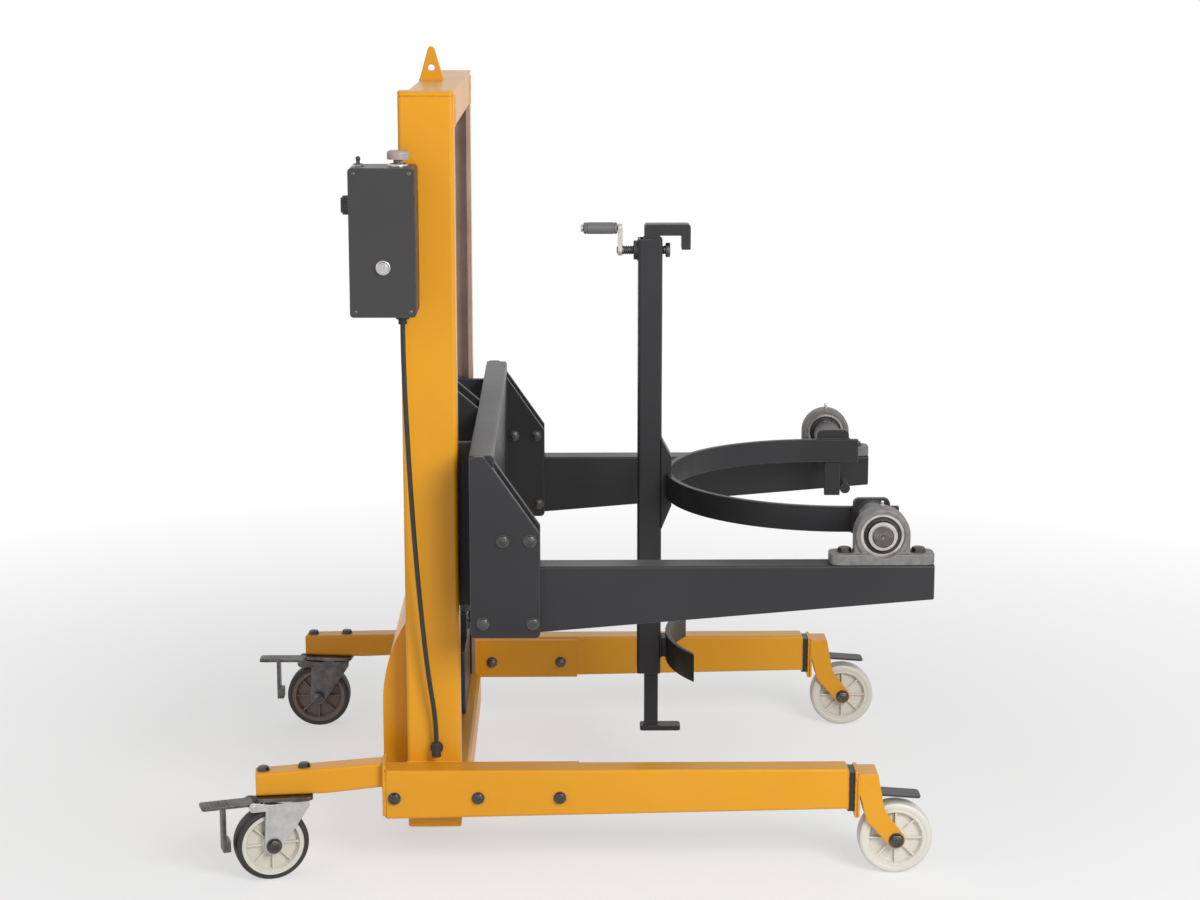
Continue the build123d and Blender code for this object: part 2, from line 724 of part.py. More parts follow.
def fork_plates():
    """Flange between leg and fork, and the guard plate over the wheel."""
    flange = block(FORK_FLANGE, (LEG_IN + FORK_MARGIN, LEG_OUT - FORK_MARGIN), FORK_FLANGE_Z)
    guard_half = CHEEK_IN - OVER
    tip_x, tip_z = GUARD_TIP
    outline = [
        (FORK_BACK[1], GUARD_REAR_TOP), (tip_x, tip_z),
        (tip_x, tip_z - GUARD_THICK), (FORK_BACK[1], GUARD_REAR_TOP - GUARD_THICK),
    ]
    guard = plate(outline, (LEG_MIDDLE - guard_half, LEG_MIDDLE + guard_half))
    guard = soften(guard, Axis.Z, GUARD_ROUND, lambda edge: edge.center().X > tip_x - OVER)
    return group(flange, guard)


def front_axle():
    """Axle bolt of a front wheel."""
    outer = CHEEK_IN + FORK_CHEEK
    place = (FRONT_AXLE_X, LEG_MIDDLE + outer, WHEEL_R)
    return bolt(place, (0, -1, 0), AXLE, 2 * outer)


def base_bolts():
    """Leg bolts, caster plate bolts and front axle bolts of both sides."""
    return pair(group(*leg_bolts(), *caster_bolts(), front_axle()))


# Hydraulic lift and power pack

def cylinder_barrel():
    """Lift cylinder tube with its port, standing on the cross beam."""
    centre = (MAST_X, 0)
    tube = rod("Z", centre, BARREL_R, CROSSBEAM_TOP, BARREL_TOP)
    tube += rod("Y", (MAST_X, PORT_Z), PORT_R, 0, PORT_END)
    return tube - rod("Z", centre, BARREL_BORE_R, CROSSBEAM_TOP + BARREL_FLOOR, BARREL_TOP + OVER)


def gland_nut():
    """Screwed head of the cylinder that the ram slides through."""
    nut = rod("Z", (MAST_X, 0), GLAND_R, BARREL_TOP, GLAND_TOP)
    nut = chamfer(top_circle(nut, Axis.Z), GLAND_CHAMFER)
    return nut - rod("Z", (MAST_X, 0), RAM_R + RUNNING, BARREL_TOP - OVER, GLAND_TOP + OVER)


def ram():
    """Ram with its piston and head, and the cross pin in the head."""
    centre = (MAST_X, 0)
    body = rod("Z", centre, RAM_R, RAM_FOOT, RAM_HEAD[0] + OVER)
    body += rod("Z", centre, PISTON_R, RAM_FOOT, RAM_FOOT + PISTON_HEIGHT)
    head = block((MAST_X - RAM_HEAD_HALF, MAST_X + RAM_HEAD_HALF), both(RAM_CHEEK[0] - OVER), RAM_HEAD)
    body += soften(head, Axis.Y, RAM_HEAD_ROUND, lambda edge: edge.center().Z > RAM_PIN_Z)
    pin_half = RAM_CHEEK[1] + RAM_PIN_TAIL
    body -= rod("Y", (MAST_X, RAM_PIN_Z), RAM_PIN_R + RUNNING, -pin_half, pin_half)
    return group(body, rod("Y", (MAST_X, RAM_PIN_Z), RAM_PIN_R, -pin_half, pin_half))


def battery():
    """Battery with its lid step and two posts."""
    x, y, z = BATTERY
    case = soften(block(x, y, z), Axis.Z, BATTERY_ROUND)
    inset_x, inset_y = POST_INSET
    step = BATTERY_ROUND
    case += block((x[0] + step, x[1] - step), (y[0] + step, y[1] - step), (z[1], z[1] + BATTERY_LID))
    for end in (y[0] + inset_y, y[1] - inset_y):
        case += rod("Z", (x[1] - inset_x, end), POST_R, z[1], z[1] + POST_HEIGHT)
    return case


def oil_tank():
    """Oil tank with its filler cap."""
    x, y, z = TANK
    tank = soften(block(x, y, z), Axis.Z, TANK_ROUND)
    filler = (x[1] - FILLER_INSET[0], y[1] - FILLER_INSET[1])
    return tank + rod("Z", filler, FILLER_R, z[1], z[1] + FILLER_HEIGHT)


def pump_unit():
    """Pump block on the tank, and the motor on the block."""
    x, y, z = PUMP
    centre = (sum(x) / 2, sum(y) / 2)
    motor = rod("Z", centre, MOTOR_R, z[1], MOTOR_TOP)
    motor = chamfer(top_circle(motor, Axis.Z), MOTOR_CHAMFER)
    return group(block(x, y, z), motor)


def pressure_pipe():
    """Steel pipe from the pump block to the cylinder's port."""
    points = [
        (MAST_X, PORT_END, PORT_Z), (MAST_X, PIPE_Y, PORT_Z),
        (MAST_X, PIPE_Y, PIPE_Z), (MAST_X, PUMP[1][0], PIPE_Z),
    ]
    path = FilletPolyline(*points, radius=PIPE_BEND)
    return sweep(Plane(points[0], z_dir=(0, 1, 0)) * Circle(PIPE_R), path=path)


# Lift carriage

def carriage():
    """Folded cross member with end plates, open to the mast."""
    shell = block((CARRIAGE_REAR, CARRIAGE_FRONT), both(CARRIAGE_HALF), (CARRIAGE_BOTTOM, CARRIAGE_TOP))
    shell = soften(shell, Axis.Y, CARRIAGE_ROUND, lambda edge: edge.center().X > CARRIAGE_FRONT - OVER)
    inside = (CARRIAGE_REAR - OVER, CARRIAGE_FRONT - CARRIAGE_WALL)
    room = (CARRIAGE_BOTTOM + CARRIAGE_WALL, CARRIAGE_TOP - CARRIAGE_WALL)
    shell -= block(inside, both(CARRIAGE_HALF - CARRIAGE_WALL), room)
    reach = CARRIAGE_HALF + OVER
    return shell - rod("Y", END_BOLT_AT, ARM_BOLT / 2 + BOLT_ROOM, -reach, reach)


def roller_plates():
    """Plates behind the carriage with the stub axles of the mast rollers."""
    x = (BACK_PLATE_REAR, CARRIAGE_FRONT - CARRIAGE_WALL)
    z = (CARRIAGE_BOTTOM + CARRIAGE_WALL, CARRIAGE_TOP - CARRIAGE_WALL)
    side = block(x, ROLLER_PLATE, z)
    side = soften(side, Axis.Y, ROLLER_PLATE_ROUND, lambda edge: edge.center().X < MAST_X)
    for height in ROLLER_Z:
        side += rod("Y", (MAST_X, height), STUB_R, ROLLER_PLATE[0], ROLLER_Y[1])
        side += rod("Y", (MAST_X, height), STUB_R + STUB_SHOULDER, ROLLER_PLATE[1], ROLLER_Y[0] - SLIDING)
    return pair(side)


def mast_rollers(height):
    """Two steel rollers on one level, one in each column."""
    bore = STUB_R + RUNNING
    low, high = ROLLER_Y
    cut = ROLLER_CHAMFER
    outline = [
        (bore, low), (ROLLER_R - cut, low), (ROLLER_R, low + cut),
        (ROLLER_R, high - cut), (ROLLER_R - cut, high), (bore, high),
    ]
    return pair(Pos(MAST_X, 0, height) * turned(outline))


def ram_bracket():
    """Two cheeks behind the carriage that take the ram's pin."""
    outline = [
        (BACK_PLATE_REAR, CARRIAGE_BOTTOM), (CARRIAGE_REAR, CARRIAGE_BOTTOM),
        (CARRIAGE_REAR, CARRIAGE_TOP), RAM_CHEEK_STEP,
        (RAM_CHEEK_STEP[0], RAM_CHEEK_TOP), (BACK_PLATE_REAR, RAM_CHEEK_TOP),
    ]
    cheek = plate(outline, RAM_CHEEK)
    cheek = soften(cheek, Axis.Y, RAM_CHEEK_ROUND, lambda edge: edge.center().Z > RAM_PIN_Z)
    cheek -= rod("Y", (MAST_X, RAM_PIN_Z), RAM_PIN_R + RUNNING, 0, RAM_CHEEK[1] + OVER)
    return pair(cheek)


def arm_hole(at):
    """Bolt hole right through a bracket and an arm."""
    return rod("Y", at, ARM_BOLT / 2 + BOLT_ROOM, ARM_IN - BRACKET - OVER, ARM_OUT + BRACKET + OVER)


def arm_brackets():
    """Outer and inner plates that hold an arm to the carriage, with the upper bolts' spacers."""
    top, front = BRACKET_SLOPE
    rise = (top[1] - front[1]) / (front[0] - top[0])
    inner_top = front[1] + rise * (front[0] - CARRIAGE_FRONT)
    foot = (BRACKET_FRONT, ARM_BOTTOM)
    outer_line = [(CARRIAGE_REAR, ARM_BOTTOM), (CARRIAGE_REAR, CARRIAGE_TOP), top, front, foot]
    inner_line = [(CARRIAGE_FRONT, ARM_BOTTOM), (CARRIAGE_FRONT, inner_top), front, foot]
    outer = plate(outer_line, (ARM_OUT, ARM_OUT + BRACKET))
    inner = plate(inner_line, (ARM_IN - BRACKET, ARM_IN))
    outer = soften(outer, Axis.Y, BRACKET_ROUND) - arm_hole(END_BOLT_AT)
    inner = soften(inner, Axis.Y, BRACKET_ROUND, lambda edge: edge.center().X > CARRIAGE_FRONT + OVER)
    spacers = []
    for at in UPPER_BOLTS:
        outer -= arm_hole(at)
        inner -= arm_hole(at)
        spacers.append(rod("Y", at, SPACER_R, ARM_IN, ARM_OUT) - arm_hole(at))
    return pair(group(outer - arm_hole(ARM_BOLT_AT), inner - arm_hole(ARM_BOLT_AT), *spacers))


def arm():
    """Tapered box arm, closed at its tip, with the stop pin of the cradle on its inner face."""
    def outline(wall, overrun):
        return [
            (CARRIAGE_FRONT - overrun, ARM_BOTTOM + wall),
            (ARM_TIP - wall, ARM_TIP_BOTTOM + wall),
            (ARM_TIP - wall, ARM_TOP - wall),
            (CARRIAGE_FRONT - overrun, ARM_TOP - wall),
        ]
    beam = plate(outline(0, 0), (ARM_IN, ARM_OUT))
    beam = round_long_edges(beam, ARM_ROUND)
    beam -= plate(outline(ARM_WALL, OVER), (ARM_IN + ARM_WALL, ARM_OUT - ARM_WALL))
    for side in (-1, 1):
        centre = (PIVOT_X + side * BLOCK_BOLT_HALF, ARM_MIDDLE)
        beam -= rod("Z", centre, BLOCK_BOLT / 2 + BOLT_ROOM, ARM_TOP - ARM_WALL - OVER, ARM_TOP + OVER)
    stop_x = STOP_TAB_X[1] + SLIDING + STOP_R
    beam += rod("Y", (stop_x, STOP_Z), STOP_R, HOOP_OUT_R + STOP_GAP, ARM_IN + ARM_WALL)
    return beam - arm_hole(ARM_BOLT_AT)


def carriage_bolts():
    """Bolts of the arm brackets and of the pillow blocks, both sides."""
    head = ARM_OUT + BRACKET
    through = head - (ARM_IN - BRACKET)
    grips = {at: through for at in (*UPPER_BOLTS, ARM_BOLT_AT)}
    grips[END_BOLT_AT] = BRACKET + CARRIAGE_WALL
    bolts = [bolt((x, head, z), (0, -1, 0), ARM_BOLT, grip) for (x, z), grip in grips.items()]
    for side in (-1, 1):
        place = (PIVOT_X + side * BLOCK_BOLT_HALF, ARM_MIDDLE, ARM_TOP + BLOCK_FOOT)
        bolts.append(bolt(place, (0, 0, -1), BLOCK_BOLT, BLOCK_FOOT + ARM_WALL))
    return pair(group(*bolts))


# Tilt bearings

def pillow_block():
    """Cast bearing housing on the arm, with the bearing's outer ring and seals."""
    base = block(both(BLOCK_HALF), both(BLOCK_WIDTH / 2), (-BLOCK_HEIGHT, BLOCK_FOOT - BLOCK_HEIGHT))
    base = soften(base, Axis.Z, BLOCK_ROUND)
    root = strip(both(BLOCK_R), (-BLOCK_HEIGHT, -BLOCK_HEIGHT + BLOCK_FOOT / 4))
    housing = base + flat(hull(disc(0, 0, BLOCK_R), root), both(HUMP_HALF))
    housing += rod("Y", (0, 0), BEARING_SEAT_R, -BEARING_HALF, BEARING_HALF)
    housing -= rod("Y", (0, 0), BLOCK_BORE_R, -BLOCK_WIDTH, BLOCK_WIDTH)
    for side in (-1, 1):
        housing -= Pos(side * BLOCK_BOLT_HALF) * Cylinder(BLOCK_BOLT / 2 + BOLT_ROOM, 4 * BLOCK_HEIGHT)
    width = both(OUTER_RING_HALF)
    ring = rod("Y", (0, 0), BLOCK_BORE_R - RUNNING, *width)
    ring -= rod("Y", (0, 0), INNER_RING_R + SLIDING, *width)
    return Pos(PIVOT_X, ARM_MIDDLE, PIVOT_Z) * group(housing, ring)


def trunnion_shafts():
    """Shafts that carry the cradle, and the bearings' inner rings on them."""
    root = HOOP_OUT_R + TRUNNION_PLATE
    centre = (PIVOT_X, PIVOT_Z)
    shaft = rod("Y", centre, SHAFT_R, root, SHAFT_END)
    shaft = chamfer(top_circle(shaft, Axis.Y), SHAFT_CHAMFER)
    shaft += rod("Y", centre, SHOULDER_R, root, ARM_IN - SHAFT_CHAMFER)
    ring = rod("Y", centre, INNER_RING_R, *INNER_RING) - rod("Y", centre, SHAFT_R + RUNNING, *INNER_RING)
    return pair(group(shaft, ring))


# Tilting cradle

def cradle_ring(inner, outer, z):
    """Full ring about the cradle's upright axis."""
    centre = (CRADLE_X, 0)
    return rod("Z", centre, outer, *z) - rod("Z", centre, inner, z[0] - OVER, z[1] + OVER)


def hoop():
    """Half hoop of flat bar with the trunnion plates and their stop tabs."""
    reach = HOOP_OUT_R + OVER
    rear_half = block((CRADLE_X - reach, CRADLE_X), both(reach), HOOP_Z)
    band = cradle_ring(HOOP_R, HOOP_OUT_R, HOOP_Z) & rear_half
    side = block((CRADLE_X, HOOP_END), (HOOP_R, HOOP_OUT_R), HOOP_Z)
    y = (HOOP_OUT_R, HOOP_OUT_R + TRUNNION_PLATE)
    cheek = soften(block(TRUNNION_X, y, TRUNNION_Z), Axis.Y, TRUNNION_ROUND)
    side += cheek + block(STOP_TAB_X, y, (STOP_TAB_BOTTOM, TRUNNION_Z[0] + OVER))
    return band + side + right(side)


def saddles():
    """Block between spine and hoop, and the curved pad at the spine's foot."""
    rear = SPINE_X[1]
    front = CRADLE_X - HOOP_R + SADDLE_LAP
    outline = [
        (rear, SADDLE_REAR_Z[0]), (rear, SADDLE_REAR_Z[1]),
        (front, SADDLE_FRONT_Z[1]), (front, SADDLE_FRONT_Z[0]),
    ]
    upper = plate(outline, both(SADDLE_HALF)) - cradle_ring(HOOP_R, HOOP_OUT_R, HOOP_Z)
    upper -= rod("Z", (CRADLE_X, 0), HOOP_R, *SADDLE_REAR_Z)
    edge = block((rear, LOW_PAD_EDGE), both(HOOP_R), LOW_PAD_Z)
    lower = cradle_ring(HOOP_R, LOW_PAD_R, LOW_PAD_Z) & edge
    stem_z = (LOW_PAD_Z[0] + LOW_STEM_INSET, LOW_PAD_Z[1] - LOW_STEM_INSET)
    stem = block((rear, CRADLE_X - HOOP_R), both(LOW_STEM_HALF), stem_z)
    lower += stem - rod("Z", (CRADLE_X, 0), (HOOP_R + LOW_PAD_R) / 2, *stem_z)
    return group(upper, lower)


def spine():
    """Upright tube with the foot bar's guide, the clamp screw's boss and the holes for both screws."""
    tube = block(SPINE_X, both(SPINE_HALF), SPINE_Z)
    tube = soften(tube, Axis.Z, SPINE_ROUND)
    inside = (SPINE_X[0] + SPINE_WALL, SPINE_X[1] - SPINE_WALL)
    tube -= block(inside, both(SPINE_HALF - SPINE_WALL), (SPINE_Z[0] - OVER, SPINE_Z[1] + OVER))
    guide = block(inside, both(SPINE_HALF - SPINE_WALL), (SPINE_Z[0], GUIDE_TOP))
    slot = (FOOT_BAR_X[0] - SLIDING, FOOT_BAR_X[1] + SLIDING)
    guide -= block(slot, both(FOOT_BAR_HALF + SLIDING), (SPINE_Z[0] - OVER, GUIDE_TOP + OVER))
    tube += guide + rod("X", (0, SCREW_Z), BOSS_R, *BOSS)
    tube -= rod("X", (0, SCREW_Z), SCREW_R + RUNNING, BOSS[0] - OVER, SPINE_X[1] + OVER)
    return tube - rod("Y", LOCK_AT, LOCK_STUD_R + RUNNING, FOOT_BAR_HALF, SPINE_HALF + OVER)


def hook():
    """Top hook whose shank sits in the spine and takes the clamp screw's thread."""
    under = HOOK_TOP - HOOK_THICK
    bar = block((SHANK_X[0], HOOK_FRONT), both(HOOK_HALF), (under, HOOK_TOP))
    bar += block(SHANK_X, both(HOOK_HALF), (SHANK_BOTTOM, under + OVER))
    bar += block((HOOK_FRONT - HOOK_LIP, HOOK_FRONT), both(HOOK_HALF), (HOOK_LIP_BOTTOM, under + OVER))
    bar = soften(bar, Axis.Y, HOOK_ROUND, lambda edge: edge.center().Z > HOOK_TOP - OVER)
    return bar - rod("X", (0, SCREW_Z), SCREW_R + RUNNING, SHANK_X[0] - OVER, SHANK_X[1] + OVER)


def clamp_pad():
    """Pressure pad that turns on the screw's tip."""
    pad = rod("X", (0, SCREW_Z), PAD_R, *PAD_X)
    pad = chamfer(pad.edges().filter_by(GeomType.CIRCLE), PAD_CHAMFER)
    return pad - rod("X", (0, SCREW_Z), SCREW_TIP_R + RUNNING, PAD_X[0] - OVER, PAD_X[0] + PAD_SOCKET)


def clamp_screw():
    """Clamp screw with its tip and its tail for the crank."""
    neck = PAD_X[0] - SLIDING
    screw = rod("X", (0, SCREW_Z), SCREW_R, CRANK_X[1], neck)
    screw += rod("X", (0, SCREW_Z), SCREW_TIP_R, neck, PAD_X[0] + PAD_SOCKET - SLIDING)
    return screw + rod("X", (0, SCREW_Z), SCREW_TAIL_R, CRANK_X[0] - 2 * OVER, CRANK_X[1])


def crank():
    """Crank arm with the pin that the grip turns on."""
    end_z = SCREW_Z + CRANK_RADIUS
    face = hull(disc(0, SCREW_Z, CRANK_HUB_R), disc(0, end_z, CRANK_END_R))
    face -= disc(0, SCREW_Z, SCREW_TAIL_R)
    lever = Pos(CRANK_X[0], 0, 0) * extrude(Plane.YZ * face, amount=CRANK_X[1] - CRANK_X[0])
    tail = GRIP_X[0] - GRIP_PIN_TAIL
    lever += rod("X", (0, end_z), GRIP_PIN_R, tail, CRANK_X[0])
    return lever + rod("X", (0, end_z), GRIP_PIN_HEAD_R, tail, GRIP_X[0] - SLIDING)


def grip():
    """Turning grip of the crank."""
    centre = (0, SCREW_Z + CRANK_RADIUS)
    sleeve = rod("X", centre, GRIP_R, *GRIP_X)
    sleeve = fillet(sleeve.edges().filter_by(GeomType.CIRCLE), GRIP_ROUND)
    return sleeve - rod("X", centre, GRIP_PIN_R + RUNNING, GRIP_X[0] - OVER, GRIP_X[1] + OVER)


def foot_bar():
    """Square bar that slides in the spine, with the foot at its lower end."""
    bar = block(FOOT_BAR_X, both(FOOT_BAR_HALF), (FOOT_Z[0] + OVER, FOOT_BAR_TOP))
    foot = soften(block(FOOT_X, both(FOOT_HALF), FOOT_Z), Axis.Z, FOOT_ROUND)
    return bar + foot


def foot_lock_knob():
    """Lobed knob with the stud that holds the foot bar, on the spine's left side."""
    x, z = LOCK_AT
    face = disc(x, z, LOCK_KNOB_R)
    for lobe in range(LOCK_LOBES):
        turn = 2 * math.pi * lobe / LOCK_LOBES
        at = (x + LOCK_KNOB_R * math.cos(turn), z + LOCK_KNOB_R * math.sin(turn))
        face += disc(*at, LOCK_LOBE_R)
    stud = rod("Y", LOCK_AT, LOCK_STUD_R, FOOT_BAR_HALF + SLIDING, LOCK_KNOB_Y[0] + OVER)
    return flat(face, LOCK_KNOB_Y) + stud


# Control box

def box_shell():
    """Control box body, open at its front, with the pad that holds it to the column."""
    shell = soften(block(BOX_X, BOX_Y, BOX_Z), Axis.Y, BOX_CORNER)
    inside = (BOX_X[0] + BOX_WALL, BOX_X[1] - BOX_WALL)
    room = (BOX_Z[0] + BOX_WALL, BOX_Z[1] - BOX_WALL)
    shell -= block(inside, (BOX_Y[0] - OVER, BOX_Y[1] - BOX_WALL), room)
    shell += block((MAST_REAR, BOX_X[1]), (BOX_Y[1], -TRACK_OUT), BOX_PAD_Z)
    low, high = BOX_Z[1] - 2 * BOX_WALL, BOX_Z[1] + COLLAR
    button = (BUTTON_X, BUTTON_COLLAR_R, BUTTON_STEM_R + SLIDING)
    lever = (LEVER_X, LEVER_COLLAR_R, LEVER_HOLE_R)
    for x, collar, hole in (button, lever):
        shell += rod("Z", (x, CONTROL_Y), collar, BOX_Z[1] - OVER, high)
        shell -= rod("Z", (x, CONTROL_Y), hole, low, high + OVER)
    stud_hole = (BOX_X[0] - OVER, BOX_X[0] + 2 * BOX_WALL)
    return shell - rod("X", (CONTROL_Y, KNOB_Z), KNOB_STUD_R + RUNNING, *stud_hole)


def box_cover():
    """Front plate of the control box with the key switch's hole."""
    face = block(BOX_X, (BOX_Y[0] - BOX_COVER, BOX_Y[0]), BOX_Z)
    face = soften(face, Axis.Y, BOX_CORNER)
    return face - rod("Y", KEY_AT, KEY_R + RUNNING, BOX_Y[0] - BOX_COVER - OVER, BOX_Y[0] + OVER)


def push_button():
    """Mushroom button on the box's top."""
    centre = (BUTTON_X, CONTROL_Y)
    head = rod("Z", centre, BUTTON_R, *BUTTON_Z)
    head = fillet(top_circle(head, Axis.Z), BUTTON_ROUND)
    return head + rod("Z", centre, BUTTON_STEM_R, BOX_Z[1] - BUTTON_FOOT, BUTTON_Z[0] + OVER)


def toggle_lever():
    """Small lever on the box's top that rocks fore and aft."""
    centre = (LEVER_X, CONTROL_Y)
    ball_z = LEVER_TOP - LEVER_BALL_R
    radius, half = LEVER_PIN
    lever = rod("Z", centre, LEVER_R, BOX_Z[1] - LEVER_FOOT, ball_z)
    lever += rod("Y", (LEVER_X, LEVER_PIVOT_Z), radius, CONTROL_Y - half, CONTROL_Y + half)
    return lever + Pos(*centre, ball_z) * Sphere(LEVER_BALL_R)


def key_switch():
    """Key switch barrel with its raised key bar."""
    x, z = KEY_AT
    half_width, height, half_length = KEY_BAR
    barrel = rod("Y", KEY_AT, KEY_R, KEY_FACE, BOX_Y[0] + KEY_DEPTH)
    key_z = (z - half_length, z + half_length)
    return barrel + block((x - half_width, x + half_width), (KEY_FACE - height, KEY_FACE + OVER), key_z)


def side_knob():
    """Turn knob on the box's rear side with its pointer rib."""
    half_width, height, half_length = KNOB_RIB
    knob = rod("X", (CONTROL_Y, KNOB_Z), KNOB_R, *KNOB_X)
    knob += rod("X", (CONTROL_Y, KNOB_Z), KNOB_STUD_R, KNOB_X[1] - OVER, BOX_X[0] + KNOB_STUD)
    rib_y = (CONTROL_Y - half_width, CONTROL_Y + half_width)
    rib_z = (KNOB_Z - half_length, KNOB_Z + half_length)
    return knob + block((KNOB_X[0] - height, KNOB_X[0] + OVER), rib_y, rib_z)


def cable_fittings():
    """Gland under the box, and the elbow boot that leads the cable into the column."""
    x, y = GLAND_AT
    hex_z = GLAND_Z[1] - GLAND_HEX
    gland = Pos(x, y, hex_z) * extrude(RegularPolygon(GLAND_HEX_R, 6), GLAND_HEX)
    gland += rod("Z", GLAND_AT, GLAND_NECK_R, GLAND_Z[0], hex_z)
    middle = sum(ELBOW_Z) / 2
    flange_r, flange = BOOT_FLANGE
    boot = rod("Z", (ELBOW_X, ELBOW_Y), BOOT_R, *ELBOW_Z)
    boot += rod("Y", (ELBOW_X, middle), BOOT_R, ELBOW_Y, COLUMN_WALL - TRACK_OUT)
    boot += rod("Y", (ELBOW_X, middle), flange_r, -TRACK_OUT - flange, -TRACK_OUT)
    return group(gland, boot)


def control_cable():
    """Cable from the gland to the elbow, in straight runs joined by arcs."""
    points = [Vector(*point) for point in CABLE_ROUTE]
    radii = []
    for before, here, after in zip(points, points[1:], points[2:]):
        turn = math.radians((here - before).get_angle(after - here))
        run = min((here - before).length, (after - here).length)
        radii.append(ARC_SHARE * run / math.tan(turn / 2))
    path = FilletPolyline(*points, radius=radii)
    cable = sweep(Plane(points[0], z_dir=points[1] - points[0]) * Circle(CABLE_R), path=path)
    ideal = math.pi * CABLE_R ** 2 * path.length
    print("cable radii", [round(radius) for radius in radii], "length", round(path.length, 1))
    print("cable volume over section times length", round(cable.volume / ideal, 4))
    return cable


# The nodes

def sided(piece):
    """A left-hand piece and its mirrored copy."""
    return piece, right(piece)


SIDED_NODES = {
    "leg": sided(leg()),
    "column": (column(), column(right_side=True)),
    "front_fork": sided(front_fork()),
    "front_wheel": sided(Pos(FRONT_AXLE_X, LEG_MIDDLE, WHEEL_R) * wheel()),
    "caster_fork": at_caster(caster_fork()),
    "caster_wheel": at_caster(Pos(-CASTER_TRAIL, 0, WHEEL_R) * wheel()),
    "brake_pedal": at_caster(brake_pedal()),
    "arm": sided(arm()),
    "pillow_block": sided(pillow_block()),
}
NODES = {
    "foot_plates": pair(foot_plate()),
    "outriggers": pair(outrigger()),
    "fork_plates": pair(fork_plates()),
    "caster_plates": pair(caster_plate()),
    "base_bolts": base_bolts(),
    "cross_members": cross_members(),
    "top_beam": top_beam(),
    "lifting_lug": lifting_lug(),
    "rear_cover": rear_cover(),
    "cylinder_barrel": cylinder_barrel(),
    "gland_nut": gland_nut(),
    "ram": ram(),
    "battery": battery(),
    "oil_tank": oil_tank(),
    "pump_unit": pump_unit(),
    "pressure_pipe": pressure_pipe(),
    "carriage": carriage(),
    "roller_plates": roller_plates(),
    "lower_rollers": mast_rollers(ROLLER_Z[0]),
    "upper_rollers": mast_rollers(ROLLER_Z[1]),
    "ram_bracket": ram_bracket(),
    "arm_brackets": arm_brackets(),
    "carriage_bolts": carriage_bolts(),
    "trunnion_shafts": trunnion_shafts(),
    "hoop": hoop(),
    "saddles": saddles(),
    "spine": spine(),
    "hook": hook(),
    "clamp_pad": clamp_pad(),
    "clamp_screw": clamp_screw(),
    "crank": crank(),
    "grip": grip(),
    "foot_bar": foot_bar(),
    "foot_lock_knob": foot_lock_knob(),
    "box_shell": box_shell(),
    "box_cover": box_cover(),
    "push_button": push_button(),
    "toggle_lever": toggle_lever(),
    "key_switch": key_switch(),
    "side_knob": side_knob(),
    "cable_fittings": cable_fittings(),
    "control_cable": control_cable(),
}
for name, (left_piece, right_piece) in SIDED_NODES.items():
    NODES[f"{name}_left"] = left_piece
    NODES[f"{name}_right"] = right_piece

os.makedirs("parts", exist_ok=True)
for name, piece in NODES.items():
    export_step(piece, f"parts/{name}.step")
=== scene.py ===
import bpy
import bmesh
import json
import math
from mathutils import Matrix, Vector


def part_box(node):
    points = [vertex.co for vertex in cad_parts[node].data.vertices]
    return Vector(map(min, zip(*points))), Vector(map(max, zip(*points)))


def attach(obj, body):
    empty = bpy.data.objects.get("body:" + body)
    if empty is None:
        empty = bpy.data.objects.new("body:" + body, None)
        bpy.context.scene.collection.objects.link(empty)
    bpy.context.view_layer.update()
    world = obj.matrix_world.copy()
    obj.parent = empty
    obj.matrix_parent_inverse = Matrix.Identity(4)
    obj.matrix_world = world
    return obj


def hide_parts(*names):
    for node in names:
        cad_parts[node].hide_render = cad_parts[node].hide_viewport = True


# Drum carrier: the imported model's looks. Metres, +X to the cradle end, +Y left, +Z up.
# Turned profiles are in millimetres.

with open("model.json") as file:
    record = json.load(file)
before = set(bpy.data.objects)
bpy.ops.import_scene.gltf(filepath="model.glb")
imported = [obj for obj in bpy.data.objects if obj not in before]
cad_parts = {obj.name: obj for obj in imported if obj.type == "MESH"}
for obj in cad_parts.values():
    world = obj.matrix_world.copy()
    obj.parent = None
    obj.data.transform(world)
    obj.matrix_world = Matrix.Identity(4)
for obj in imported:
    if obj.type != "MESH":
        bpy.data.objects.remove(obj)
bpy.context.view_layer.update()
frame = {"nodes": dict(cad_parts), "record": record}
RECORD = frame["record"]
NODES = frame["nodes"]
SLOT_OF = {entry["node"]: entry["material_slot"] for entry in RECORD["subparts"]}
JOINTS = {joint["name"]: joint for joint in RECORD["behaviour"]["joints"]}
BODY_OF = {node: body for body, nodes in RECORD["behaviour"]["bodies"].items() for node in nodes}
SCENE = bpy.context.scene
ORIGIN = Vector((0, 0, 0))
AXIS_X, AXIS_Y, AXIS_Z = Vector((1, 0, 0)), Vector((0, 1, 0)), Vector((0, 0, 1))
MM = 0.001

# Mesh limits
JOIN_WITHIN = 0.002 * MM      # loose corners closer than this are one
FLAT_WITHIN = math.radians(0.6)
SHARP_FROM = math.radians(32)

# Camera, light and floor
CAMERA_AT = (-0.0017, -4.368, 1.5224)
CAMERA_TURN = (math.radians(78.657), 0, math.radians(-0.813))
CAMERA_LENS = 73.93
AMBIENT = 0.39                # strength of the white surroundings as light
KEY_LIGHT = dict(place=(1.8, -3.3, 2.4), size=1.7, power=110)
FILL_LIGHT = dict(place=(-3.0, -2.6, 1.8), size=2.4, power=18)
LIGHT_AIM = (0, -0.2, 0.7)
FLOOR_HALF = 9
FLOOR_TONE = (0.86, 0.86, 0.86)
FLOOR_GLOW = 0.55             # share of plain white in the floor under the object
FLOOR_FADE = (0.9, 2.6)       # distances between which the floor turns fully white

